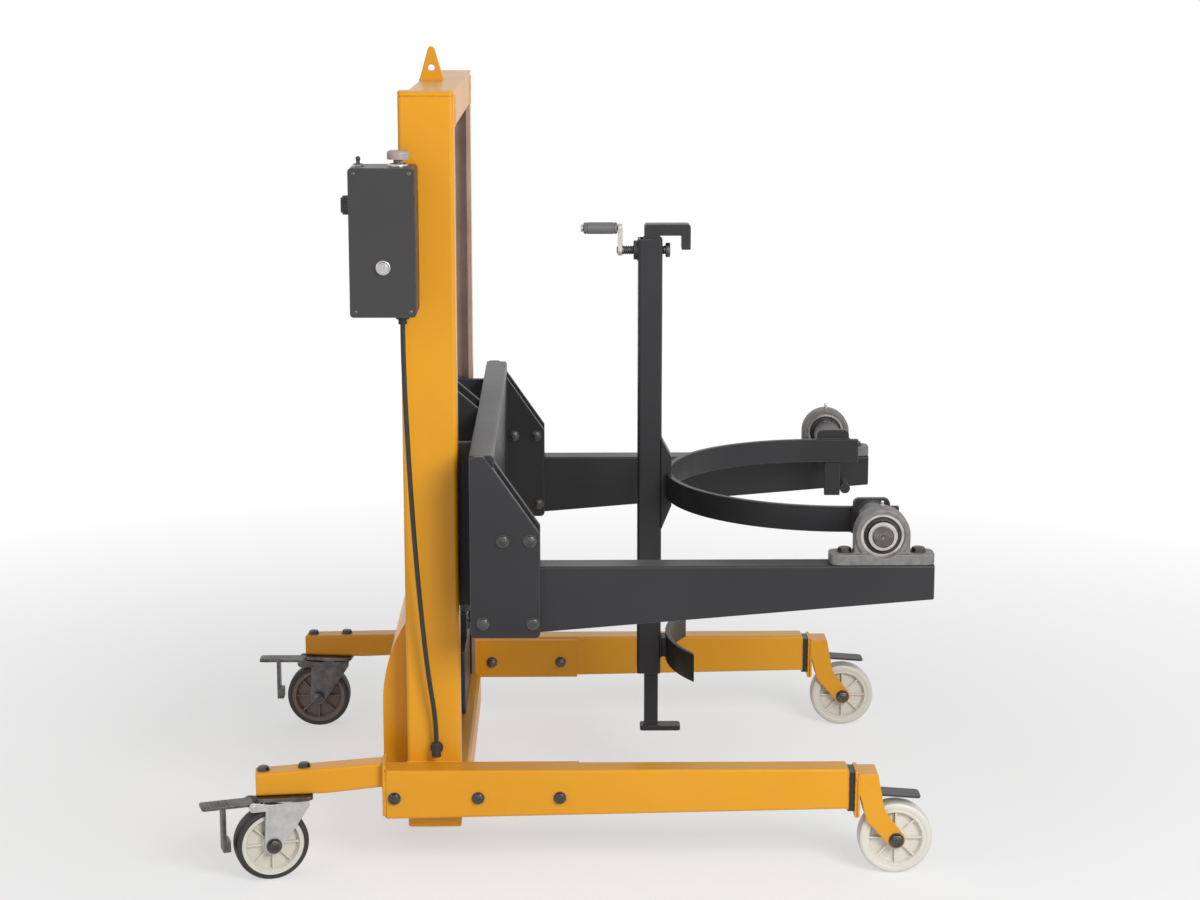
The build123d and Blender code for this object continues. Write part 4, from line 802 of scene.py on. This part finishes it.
def add_hexagon(work, radius, low, high):
    """Hexagon with the corners of its top turned off."""
    flat = radius * math.cos(math.pi / 6)
    rim_r = flat * 0.95
    slope = math.tan(math.pi / 6)
    base, shoulder, rim = [], [], []
    for step, out in enumerate(spokes(12)):
        reach = radius if step % 2 == 0 else flat
        if step % 2 == 0:
            base.append(work.verts.new(out * reach + AXIS_Z * low))
        shoulder.append(work.verts.new(out * reach + AXIS_Z * (high - (reach - rim_r) * slope)))
        rim.append(work.verts.new(out * rim_r + AXIS_Z * high))
    for side in range(6):
        first, ahead = 2 * side, (2 * side + 2) % 12
        foot = base[side], base[(side + 1) % 6]
        work.faces.new((*foot, shoulder[ahead], shoulder[first + 1], shoulder[first]))
    for step in range(12):
        ahead = (step + 1) % 12
        work.faces.new((shoulder[step], shoulder[ahead], rim[ahead], rim[step]))
    work.faces.new(rim)
    work.faces.new(base)


def washer_and_hexagon(height):
    """Hexagon on its washer, as a mesh that can be added to."""
    work = bmesh.new()
    edge, rim = WASHER - WASHER_EDGE, WASHER_R - WASHER_EDGE
    disc = [(0, 0), (0, WASHER_R), (edge, WASHER_R), (WASHER, rim), (WASHER, 0)]
    add_turned(work, disc, steps=28, unit=1)
    add_hexagon(work, HEX_R, WASHER, height)
    return work


def nut_shape():
    """Nut on its washer, with the thread's end standing out of it."""
    work = washer_and_hexagon(NUT_HEIGHT)
    start = NUT_HEIGHT - THREAD_STEP
    thread = [(start, 0)]
    for turn in range(THREAD_TURNS):
        at = start + THREAD_STEP * turn
        thread += [(at, 0.5), (at + THREAD_STEP / 2, 0.43)]
    thread += [(THREAD_TAIL - THREAD_STEP, 0.46), (THREAD_TAIL, 0.36), (THREAD_TAIL, 0)]
    add_turned(work, thread, steps=20, unit=1)
    return close_mesh(work, "hex_nut")


HEAD = close_mesh(washer_and_hexagon(HEAD_HEIGHT), "hex_head")
NUT = nut_shape()
SHANK = turned("shank", [(0, 0), (0, 0.5), (1, 0.5), (1, 0)], steps=20, unit=1)
PAN_HEAD = turned("pan_head", [
    (0, 0), (0, 1.0), (0.25, 0.98), (0.48, 0.78), (0.6, 0.42), (0.6, 0.3), (0.3, 0.16), (0.3, 0),
], steps=24, unit=1)


def read_bolt(corners, axis=None):
    """Head seat, tail end, direction that the head points in, thread size, and whether it has a nut."""
    low, high = span(corners)
    centre = (low + high) / 2
    if axis is None:
        axis = max((AXIS_X, AXIS_Y, AXIS_Z), key=lambda direction: (high - low).dot(direction))
    arms = [corner.co - centre for corner in corners]
    heights = [arm.dot(axis) for arm in arms]
    reaches = [(arm - axis * height).length for arm, height in zip(arms, heights)]
    radius, top = max(reaches), max(heights)
    at_top = max(reach for reach, height in zip(reaches, heights) if height > top - JOIN_WITHIN)
    if at_top < 0.8 * radius:   # the narrow end is up, so the head is below
        axis = -axis
    size = radius / HEX_R
    has_nut = sum(reach > 0.95 * radius for reach in reaches) > HEAD_CORNERS
    seat = centre + axis * (top - HEAD_HEIGHT * size)
    return seat, centre - axis * top, axis, size, has_nut


def bolt_mesh(bolts, slot):
    """Heads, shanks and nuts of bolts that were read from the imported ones."""
    heads, shanks, nuts = [], [], []
    for seat, tail, axis, size, has_nut in bolts:
        length = (seat - tail).length - THREAD_TAIL * size * has_nut
        heads.append((seat, axis, even(size)))
        shanks.append((seat, -axis, Vector((size, size, length))))
        if has_nut:
            nuts.append((tail + axis * THREAD_TAIL * size, -axis, even(size)))
    meshes = [set_out(HEAD, heads, slot), set_out(SHANK, shanks, slot)]
    if nuts:
        meshes.append(set_out(NUT, nuts, slot))
    return combine("bolts", *meshes)


def hex_bolts(node):
    """All hex bolts of a packed group."""
    work = joined(node)
    bolts = [read_bolt(part) for part in loose_parts(work)]
    work.free()
    stand_in(node, bolt_mesh(bolts, SLOT_OF[node]))


# Welds, and the places that they need and no box gives

FRAME_BEAD, CARRIAGE_BEAD, CRADLE_BEAD, FOOT_BEAD = 2.4 * MM, 2.6 * MM, 2.2 * MM, 1.8 * MM
FOOT_PLATE_TOP = 184 * MM
ROOT_Y, ROOT_Z = (380 * MM, 420 * MM), (154 * MM, 196 * MM)
FLANGE_INSET, FLANGE_Z = 2 * MM, (117 * MM, 181 * MM)
CHEEK_Z = 104 * MM, 179 * MM
ARM_WIDTH, BRACKET, BRACKET_TOP = 50 * MM, 12 * MM, 700 * MM
STOP_PIN_X, STOP_PIN_Z, STOP_PIN_R = 540.3 * MM, 508 * MM, 10 * MM
HOOP_Z, HOOP_R, HOOP_BACK = (563 * MM, 607 * MM), 300 * MM, 179 * MM
TRUNNION_X, SHOULDER_R = (484 * MM, 546 * MM), 26 * MM
STEM_Y, STEM_INSET = (-18 * MM, 18 * MM), 7 * MM
BOSS_X, BOSS_R = 128 * MM, 17 * MM
HOOK_FRONT = 166.8 * MM
FOOT_TOP, FOOT_BAR_X, FOOT_BAR_Y = 130 * MM, (141.6 * MM, 166.6 * MM), (-12.5 * MM, 12.5 * MM)


def rectangle(axis, at, first, second):
    """Closed line across an axis, between limits on the other two axes in order."""
    line = []
    for a, b in ((0, 0), (1, 0), (1, 1), (0, 1), (0, 0)):
        place = [first[a], second[b]]
        place.insert("XYZ".index(axis), at)
        line.append(tuple(place))
    return line


def circle(centre, axis, radius):
    """Closed round line about an axis."""
    place = facing(centre, axis)
    line = [tuple(place @ (out * radius)) for out in spokes(48)]
    return line + line[:1]


def both_sides(*lines):
    """Left-hand lines and their right-hand copies."""
    return [*lines, *([(x, -y, z) for x, y, z in line] for line in lines)]


def upright(x, y, low, high):
    """Line straight up."""
    return [(x, y, low), (x, y, high)]


def weld(name, body, slot, lines, bead):
    """Weld beads of one body."""
    work = bmesh.new()
    for line in lines:
        corners = [work.verts.new(place) for place in line]
        for corner, ahead in zip(corners, corners[1:]):
            work.edges.new((corner, ahead))
    bmesh.ops.remove_doubles(work, verts=work.verts, dist=JOIN_WITHIN)
    mesh = bpy.data.meshes.new("weld_lines")
    work.to_mesh(mesh)
    work.free()
    values = {"Bead Radius": bead, "Ripple Pitch": 1.7 * bead, "Finish": FINISH[slot]}
    beads = grow(WELD_BEAD, mesh, values)
    beads.shade_smooth()
    make(name, beads, body, slot)


def base_welds():
    """Welds of the painted frame."""
    back, front = limits("column_left", 0)
    inner, outer = limits("column_left", 1)
    column_top = limits("column_left", 2)[1]
    leg_x, leg_y, leg_z = (limits("leg_left", axis) for axis in range(3))
    beam_low, beam_high = solids("cross_members")[0]
    plate_low = limits("foot_plates", 2)[0]
    cap_low, cap_top = limits("top_beam", 2)
    flange_y = leg_y[0] + FLANGE_INSET, leg_y[1] - FLANGE_INSET
    fork_x = solids("fork_plates")[-1][0].x
    cheek_in, cheek_out = limits("front_fork_left", 1)
    lines = [rectangle("Z", cap_top, limits("lifting_lug", 0), limits("lifting_lug", 1))]
    lines += both_sides(
        upright(back, outer, plate_low, FOOT_PLATE_TOP),
        upright(front, outer, plate_low, FOOT_PLATE_TOP),
        upright(front, inner, cap_low, column_top),
        [(back, outer, FOOT_PLATE_TOP), (front, outer, FOOT_PLATE_TOP)],
        upright(front, inner, beam_low.z, beam_high.z),
        rectangle("X", limits("outriggers", 0)[1], ROOT_Y, ROOT_Z),
        [(leg_x[0], leg_y[0], leg_z[1]), (leg_x[0], leg_y[1], leg_z[1])],
        rectangle("X", leg_x[1], flange_y, FLANGE_Z),
        upright(fork_x, cheek_out, *CHEEK_Z),
        upright(fork_x, cheek_in, *CHEEK_Z))
    weld("frame_welds", "base", "frame_paint", lines, FRAME_BEAD)


def lift_welds():
    """Welds of the lift carriage."""
    front = limits("carriage", 0)[1]
    arm_low, arm_top = limits("arm_left", 2)
    arm_out = limits("arm_left", 1)[1]
    arm_in = arm_out - ARM_WIDTH
    lines = both_sides(
        upright(front, arm_in - BRACKET, arm_low + BRACKET / 2, BRACKET_TOP),
        upright(front, arm_in, arm_top, BRACKET_TOP),
        [(front, arm_in, arm_top), (front, arm_out, arm_top)],
        circle((STOP_PIN_X, arm_in, STOP_PIN_Z), AXIS_Y, STOP_PIN_R))
    weld("carriage_welds", "lift", "black_paint", lines, CARRIAGE_BEAD)


def cradle_welds():
    """Welds of the tilting cradle and of the foot."""
    front = limits("saddles", 0)[0]
    (pad_low, pad_high), (saddle_low, saddle_high) = solids("saddles")
    spine_half = limits("spine", 1)[1]
    inset = 2 * MM
    lines = both_sides(
        upright(front, spine_half, saddle_low.z + inset, saddle_high.z - inset),
        upright(HOOP_BACK, saddle_high.y, *HOOP_Z),
        rectangle("Y", HOOP_R, TRUNNION_X, HOOP_Z),
        circle((PIVOT.x, limits("hoop", 1)[1], PIVOT.z), AXIS_Y, SHOULDER_R))
    lines += [
        rectangle("X", front, STEM_Y, (pad_low.z + STEM_INSET, pad_high.z - STEM_INSET)),
        circle((BOSS_X, 0, SCREW_AT.z), AXIS_X, BOSS_R),
        rectangle("Z", limits("spine", 2)[1], (limits("hook", 0)[0], HOOK_FRONT), limits("hook", 1)),
    ]
    weld("cradle_welds", "cradle", "black_paint", lines, CRADLE_BEAD)
    foot = rectangle("Z", FOOT_TOP, FOOT_BAR_X, FOOT_BAR_Y)
    weld("foot_weld", "foot_bar", "black_paint", [foot], FOOT_BEAD)


# Wheels, casters and rollers, in millimetres

HUB_HALF, HUB_R, AXLE_R = 20, 16, 6
WHEEL_HALF, WEB_HALF, RIM_R = 18, 7, 46.5
WHEEL_RIBS, WHEEL_RIB = 8, 3
ROLLER_HALF = 15
PEDAL_TOP, PEDAL_RIBS, FIRST_RIB, RIB_PITCH = 138, 7, -136, 6.5
PEDAL_RIB, PEDAL_RIB_LENGTH = 2.4, 30


def wheel(node, axis, tread):
    """Moulded wheel: hub with its bearing seal, ribbed web, rim and tread."""
    centre = middle(node)
    radius = half_size(node).z
    groove = 1
    side = [
        (HUB_HALF, AXLE_R + 0.2, 2), (HUB_HALF, 9, 2), (HUB_HALF - groove, 9.5, 2),
        (HUB_HALF - groove, 12, 2), (HUB_HALF, 12.5), (HUB_HALF, HUB_R), (WEB_HALF + 1.5, HUB_R + 3),
        (WEB_HALF, RIM_R - 5), (WHEEL_HALF - groove, RIM_R - 1), (WHEEL_HALF - groove, RIM_R + 5),
        (WHEEL_HALF, RIM_R + 6, 1), (WHEEL_HALF, radius - 5, 1), (WHEEL_HALF - 2, radius - 1.8, 1),
        (WHEEL_HALF - 6, radius - 0.3, 1), (0, radius, 1),
    ]
    body = turned(node, both_ends(side), centre, axis, 72)
    slot = SLOT_OF[node]
    bar = RIM_R - HUB_R, WHEEL_RIB, 2 * (WHEEL_HALF - 4)
    ribs = rib_ring(slot, centre, axis, WHEEL_RIBS, (HUB_R + RIM_R) / 2, bar)
    ribs.polygons.foreach_set("material_index", [0] * len(ribs.polygons))
    stand_in(node, combine(node, body, ribs), [slot, tread, "black_rubber"], 0.5 * MM)


def caster_fork(node, axle):
    """Swivel fork with its axle bolt."""
    work = joined(node)
    parts = sorted(loose_parts(work), key=bulk)
    bolt = read_bolt(parts[0], axle)
    keep_part(work, parts[-1])
    merge_flats(work)
    stand_in(node, close_mesh(work, node), rounding=0.5 * MM)
    make(f"{node}_axle", bolt_mesh([bolt], "bolt_steel"), BODY_OF[node], "bolt_steel")


def pedal_ribs(side, turn):
    """Grip ribs across a brake pedal's tread."""
    x, y, z = JOINTS[f"caster_{side}_swivel"]["pos_m"]
    swivel = Matrix.Translation((x, y, 0)) @ Matrix.Rotation(turn, 4, "Z")
    across = swivel.to_3x3() @ AXIS_Y
    size = Vector((PEDAL_RIB, PEDAL_RIB, PEDAL_RIB_LENGTH)) * MM
    places = []
    for rib in range(PEDAL_RIBS):
        start = Vector((FIRST_RIB + RIB_PITCH * rib, -PEDAL_RIB_LENGTH / 2, PEDAL_TOP)) * MM
        places.append((swivel @ start, across, size))
    pedal = f"brake_pedal_{side}"
    make(f"{pedal}_ribs", set_out(SHANK, places, "caster_steel"), pedal, "caster_steel")


def mast_rollers(node):
    """Pair of turned rollers with their bearing faces."""
    radius = half_size(node).z
    half = ROLLER_HALF
    side = [
        (half, 12.1), (half, 17), (half - 1, 17.4, 1), (half - 1, 24, 1), (half, 24.4), (half, radius - 2),
        (half - 2, radius),
    ]
    place = middle(node)
    pair = []
    for end in (-1, 1):
        place.y = end * (limits(node, 1)[1] - half * MM)
        pair.append(turned(node, both_ends(side), place, AXIS_Y))
    stand_in(node, combine(node, *pair), [SLOT_OF[node], "black_rubber"], 0.4 * MM)


# Tilt bearings, in millimetres

SHAFT_R, SHAFT_SHOULDER = 17.5, 420
INNER_RING_R, INNER_RING_Y = 24, (425, 469)
OUTER_RING_R, OUTER_RING_IN_R, OUTER_RING_HALF = 35.9, 31, 13
NIPPLE_BASE = 45


def pillow_block(node):
    """Cast housing with soft corners, its bearing's outer ring and seal, and a grease nipple."""
    work = joined(node)
    keep_part(work, max(loose_parts(work), key=bulk))
    housing = add_piece(f"{node}_finished", close_mesh(work, node))
    soften(housing, grain=1.3 * MM, rounds=6)
    settle(housing, "lift", "cast_grey", node)
    centre = Vector((PIVOT.x, middle(node).y, PIVOT.z))
    face = OUTER_RING_HALF
    ring = [
        (face - 1, INNER_RING_R + 0.4, 1), (face, INNER_RING_R + 1, 1), (face - 1.2, 27.5, 1),
        (face - 0.4, OUTER_RING_IN_R), (face, OUTER_RING_IN_R + 0.4), (face, OUTER_RING_R),
    ]
    bearing = turned("bearing", both_ends(ring), centre, AXIS_Y, 72)
    make(f"{node}_bearing", bearing, "lift", "bright_steel", ["bright_steel", "black_rubber"])
    base = NIPPLE_BASE
    nipple = [
        (base, 0), (base, 4), (base + 4, 4), (base + 4, 2.4), (base + 7, 2.2), (base + 8, 3),
        (base + 10, 2.6), (base + 11, 0),
    ]
    make(f"{node}_nipple", turned("nipple", nipple, centre, AXIS_Z, 20), "lift", "bright_steel")


def trunnions():
    """Dark shafts that carry the cradle, and the bright inner rings on them."""
    start = limits("hoop", 1)[1] / MM
    end = limits("trunnion_shafts", 1)[1] / MM
    thick = SHOULDER_R / MM
    shaft = [
        (start, 0), (start, thick), (SHAFT_SHOULDER - 2, thick), (SHAFT_SHOULDER, thick - 2),
        (SHAFT_SHOULDER, SHAFT_R), (end - 2, SHAFT_R), (end, SHAFT_R - 2), (end, 4.5), (end - 5, 0),
    ]
    inner, outer = INNER_RING_Y
    ring = [
        (inner, SHAFT_R + 0.1), (inner, INNER_RING_R - 1), (inner + 1, INNER_RING_R),
        (outer - 1, INNER_RING_R), (outer, INNER_RING_R - 1), (outer, SHAFT_R + 0.1),
    ]
    sides = -AXIS_Y, AXIS_Y
    shafts = combine("shafts", *(turned("shaft", shaft, PIVOT, side, 56) for side in sides))
    rings = combine("rings", *(turned("ring", ring, PIVOT, side) for side in sides))
    make("trunnion_shafts_finished", shafts, "cradle", "caster_steel", nodes=["trunnion_shafts"])
    make("bearing_inner_rings", rings, "cradle", "bright_steel")


# Clamp and foot lock, in millimetres

SCREW_R, SCREW_TAIL, SCREW_TIP = 8, 10, 4.7
THREAD_PITCH, THREAD_DEPTH = 4, 1.3
ROWS_PER_MM, SCREW_SIDES = 2, 28


def clamp_screw():
    """Clamp screw with a cut thread between its plain ends."""
    low, high = (place / MM for place in limits("clamp_screw", 0))
    start, end = low + SCREW_TAIL, high - SCREW_TIP
    rows = round((end - start) * ROWS_PER_MM)
    work = bmesh.new()
    grid = []
    for row in range(rows + 1):
        x = start + (end - start) * row / rows
        run_out = min(1, min(x - start, end - x) / THREAD_PITCH)
        line = []
        for spoke, out in enumerate(spokes(SCREW_SIDES)):
            phase = (x / THREAD_PITCH + spoke / SCREW_SIDES) % 1
            flank = 2.6 * (0.5 - abs(phase - 0.5)) - 0.15
            radius = SCREW_R - THREAD_DEPTH * run_out * max(0, min(1, flank))
            line.append(work.verts.new(SCREW_AT + Vector((x, radius * out.x, radius * out.y)) * MM))
        grid.append(line)
    for line, following in zip(grid, grid[1:]):
        for spoke in range(SCREW_SIDES):
            ahead = (spoke + 1) % SCREW_SIDES
            work.faces.new((line[spoke], line[ahead], following[ahead], following[spoke]))
    work.faces.new(grid[0])
    work.faces.new(grid[-1])
    tail = [(low, 0), (low, 5), (low + 1, 6), (start + 1, 6), (start + 1, 0)]
    tip = [(end - 1, 0), (end - 1, 5), (high, 5), (high, 0)]
    for profile in (tail, tip):
        add_turned(work, profile, SCREW_AT, AXIS_X, SCREW_SIDES)
    stand_in("clamp_screw", close_mesh(work, "screw"))


def grip():
    """Turning grip: a plain moulded sleeve with a groove near each end."""
    half, radius = half_size("grip").x, half_size("grip").z
    bore, groove = 4.1, 1
    side = [
        (half, bore), (half, radius - 2.5), (half - 1, radius - 0.8), (half - 3, radius),
        (half - 5, radius), (half - 5.6, radius - groove), (half - 6.6, radius - groove),
        (half - 7.2, radius),
    ]
    sleeve = turned("grip", both_ends(side), middle("grip"), AXIS_X, 48)
    stand_in("grip", sleeve, rounding=0.3 * MM)


def lobed_knob():
    """Moulded lock knob of the foot bar, its lobes soft."""
    knob = add_piece("foot_lock_knob_finished", close_mesh(joined("foot_lock_knob"), "knob"))
    soften(knob, grain=0.6 * MM, rounds=8)
    settle(knob, "foot_lock_knob", "black_plastic", "foot_lock_knob")


# Control box, in millimetres apart from its places

COLLAR_TOP = limits("box_shell", 2)[1]
COLLAR, COLLAR_R = 3.9, 14    # height over the box's top, less a small gap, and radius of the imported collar
COVER_SCREW_R, COVER_SCREW_INSET = 3.6, 9
LEVER_NUT_R, LEVER_NUT_TOP = 10, -1
KNOB_RIBS_FROM_END = 8.5


def cover_screws():
    """Domed screws near the corners of the cover."""
    low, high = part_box("box_cover")
    inset = COVER_SCREW_INSET * MM
    screws = []
    for x in (low.x + inset, high.x - inset):
        for z in (low.z + inset, high.z - inset):
            screws.append((Vector((x, low.y, z)), -AXIS_Y, even(COVER_SCREW_R * MM)))
    make("cover_screws", set_out(PAN_HEAD, screws, "caster_steel"), "base", "caster_steel")


def key_bezel():
    """Ring round the key switch."""
    place = middle("key_switch")
    place.y = limits("box_cover", 1)[0]
    profile = [(0, 9.2), (0, 12), (1.4, 12), (2.4, 11), (2.4, 9.2)]
    ring = turned("bezel", profile, place, -AXIS_Y, 40)
    make("key_bezel", ring, "base", "switch_metal", rounding=0.3 * MM)


def button_collar():
    """Stepped ring that the button goes down into."""
    place = middle("push_button")
    place.z = COLLAR_TOP
    profile = [
        (-COLLAR, COLLAR_R), (-COLLAR, 16.5), (-2, 16.5), (0, 15.2), (0, 8.5), (-1, 8.5), (-1, COLLAR_R),
    ]
    ring = turned("collar", profile, place, AXIS_Z, 40)
    make("button_collar", ring, "base", "switch_metal", rounding=0.3 * MM)


def lever_nut():
    """Nut at the foot of the lever."""
    place = middle("toggle_lever")
    place.z = COLLAR_TOP
    work = bmesh.new()
    add_hexagon(work, LEVER_NUT_R * MM, -COLLAR * MM, LEVER_NUT_TOP * MM)
    work.transform(Matrix.Translation(place))
    make("lever_nut", close_mesh(work, "nut"), "base", "switch_metal")


def side_knob_ribs():
    """Grip ribs round the side knob."""
    place = middle("side_knob")
    place.x = limits("side_knob", 0)[0] + KNOB_RIBS_FROM_END * MM
    ribs = rib_ring("black_plastic", place, AXIS_X, count=22, radius=14.8, bar=(1.2, 1.6, 8))
    make("side_knob_ribs", ribs, "side_knob", "black_plastic")


# Power pack and lift cylinder

BATTERY_CELLS, BATTERY_POST = 6, 12 * MM
CAP_OFFSET = 12 * MM
FILLER_INSET = Vector((30, 28, 6)) * MM
MOTOR_BOLT_R, MOTOR_BOLT, PUMP_BOLT, PIPE_NUT = 26 * MM, 6 * MM, 10 * MM, 11 * MM


def battery_caps():
    """Vent caps on the battery's lid, one for each cell."""
    low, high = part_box("battery")
    profile = [(0, 0), (0, 12), (3, 12), (4.5, 10.5), (4.5, 3), (3.5, 2), (3.5, 0)]
    x = (low.x + high.x) / 2 - CAP_OFFSET
    caps = []
    for cell in range(BATTERY_CELLS):
        y = low.y + (high.y - low.y) * (cell + 0.5) / BATTERY_CELLS
        caps.append((Vector((x, y, high.z - BATTERY_POST)), AXIS_Z, even(1)))
    mesh = set_out(turned("vent_cap", profile, steps=28), caps, "grey_plastic")
    make("battery_caps", mesh, "base", "grey_plastic")


def filler_ribs():
    """Grip ribs round the oil tank's filler cap."""
    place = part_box("oil_tank")[1] - FILLER_INSET
    ribs = rib_ring("black_plastic", place, AXIS_Z, count=20, radius=14, bar=(1.6, 1.8, 10))
    make("filler_ribs", ribs, "base", "black_plastic")


def pump_fasteners():
    """Bolts of the motor and the pump, and the nuts of the pressure pipe."""
    (pump_low, pump_high), (motor_low, motor_high) = solids("pump_unit")
    motor_top = (motor_low + motor_high) / 2
    motor_top.z = motor_high.z
    corners = spokes(8)[1::2]
    bolts = [(motor_top + out * MOTOR_BOLT_R, AXIS_Z, even(MOTOR_BOLT)) for out in corners]
    for share in (0.25, 0.75):
        y = pump_low.y + share * (pump_high.y - pump_low.y)
        place = Vector((pump_high.x, y, (pump_low.z + pump_high.z) / 2))
        bolts.append((place, AXIS_X, even(PUMP_BOLT)))
    low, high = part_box("pressure_pipe")
    pipe_r = (high.x - low.x) / 2
    pipe_x = low.x + pipe_r
    bolts.append((Vector((pipe_x, low.y, low.z + pipe_r)), AXIS_Y, even(PIPE_NUT)))
    bolts.append((Vector((pipe_x, high.y, high.z - pipe_r)), -AXIS_Y, even(PIPE_NUT)))
    make("pump_fasteners", set_out(HEAD, bolts, "bolt_steel"), "base", "bolt_steel")


def ram_wiper():
    """Rubber lip on the gland, round the ram."""
    place = middle("gland_nut")
    place.z = limits("gland_nut", 2)[1]
    profile = [(0, 20.2), (0, 26), (1.5, 25), (3, 21), (3, 20.2)]
    make("ram_wiper", turned("wiper", profile, place, AXIS_Z, 48), "base", "black_rubber")


# Control cable

def control_cable():
    """The cable as one smooth curve along its route."""
    data = adjust(bpy.data.curves.new("control_cable_lead", "CURVE"), dimensions="3D",
                  bevel_depth=CABLE_WIDTH / 2, bevel_resolution=6, resolution_u=24, use_fill_caps=True)
    line = data.splines.new("NURBS")
    line.points.add(len(CABLE_ROUTE) - 1)
    for point, place in zip(line.points, CABLE_ROUTE):
        point.co = (*place, 1)
    adjust(line, order_u=3, use_endpoint_u=True, use_smooth=True)
    piece = add_piece("control_cable_lead", data)
    settle(piece, "base", "black_rubber", "control_cable")


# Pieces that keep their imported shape, and how far their edges are rounded, in millimetres

ROUNDINGS = {
    "leg_left": 1.0, "leg_right": 1.0, "foot_plates": 1.0, "outriggers": 1.0, "column_left": 1.0,
    "column_right": 1.0, "top_beam": 1.2, "cross_members": 1.2, "lifting_lug": 1.2, "rear_cover": 0.5,
    # fork_plates: dark plates at the legs' front ends, standing in as painted shade for the gap between leg
    # and fork
    "front_fork_left": 0.7, "front_fork_right": 0.7, "fork_plates": 0.8, "carriage": 1.2,
    "roller_plates": 1.0, "ram_bracket": 1.0, "arm_brackets": 1.0, "arm_left": 1.0, "arm_right": 1.0,
    "hoop": 1.0, "saddles": 1.0, "spine": 0.5, "hook": 1.2, "foot_bar": 0.8, "caster_plates": 0.6,
    "brake_pedal_left": 0.6, "brake_pedal_right": 0.6, "crank": 0.8, "box_shell": 0.5, "box_cover": 0.8,
    "key_switch": 0.3, "side_knob": 0.6, "push_button": 0, "toggle_lever": 0, "cable_fittings": 0.6,
    "cylinder_barrel": 0.6, "gland_nut": 0.8, "ram": 0.6, "battery": 1.2, "oil_tank": 1.0, "pump_unit": 0.8,
    "clamp_pad": 0.3, "pressure_pipe": 0,
}

set_camera()
set_world()
area_light("key", **KEY_LIGHT)
area_light("fill", **FILL_LIGHT)
set_floor()
SCENE.view_settings.view_transform = "Standard"

control_cable()
for node_name, rounding_mm in ROUNDINGS.items():
    dress(node_name, rounding_mm * MM)
hex_bolts("base_bolts")
hex_bolts("carriage_bolts")
base_welds()
lift_welds()
cradle_welds()
wheel("front_wheel_left", AXIS_Y, "nylon")
wheel("front_wheel_right", AXIS_Y, "nylon")
wheel("caster_wheel_left", AXIS_Y, "black_rubber")
wheel("caster_wheel_right", RIGHT_AXLE, "black_rubber")
caster_fork("caster_fork_left", AXIS_Y)
caster_fork("caster_fork_right", RIGHT_AXLE)
pedal_ribs("left", 0)
pedal_ribs("right", RIGHT_SWIVEL)
mast_rollers("upper_rollers")
mast_rollers("lower_rollers")
pillow_block("pillow_block_left")
pillow_block("pillow_block_right")
trunnions()
clamp_screw()
grip()
lobed_knob()
cover_screws()
key_bezel()
button_collar()
lever_nut()
side_knob_ribs()
battery_caps()
filler_ribs()
pump_fasteners()
ram_wiper()
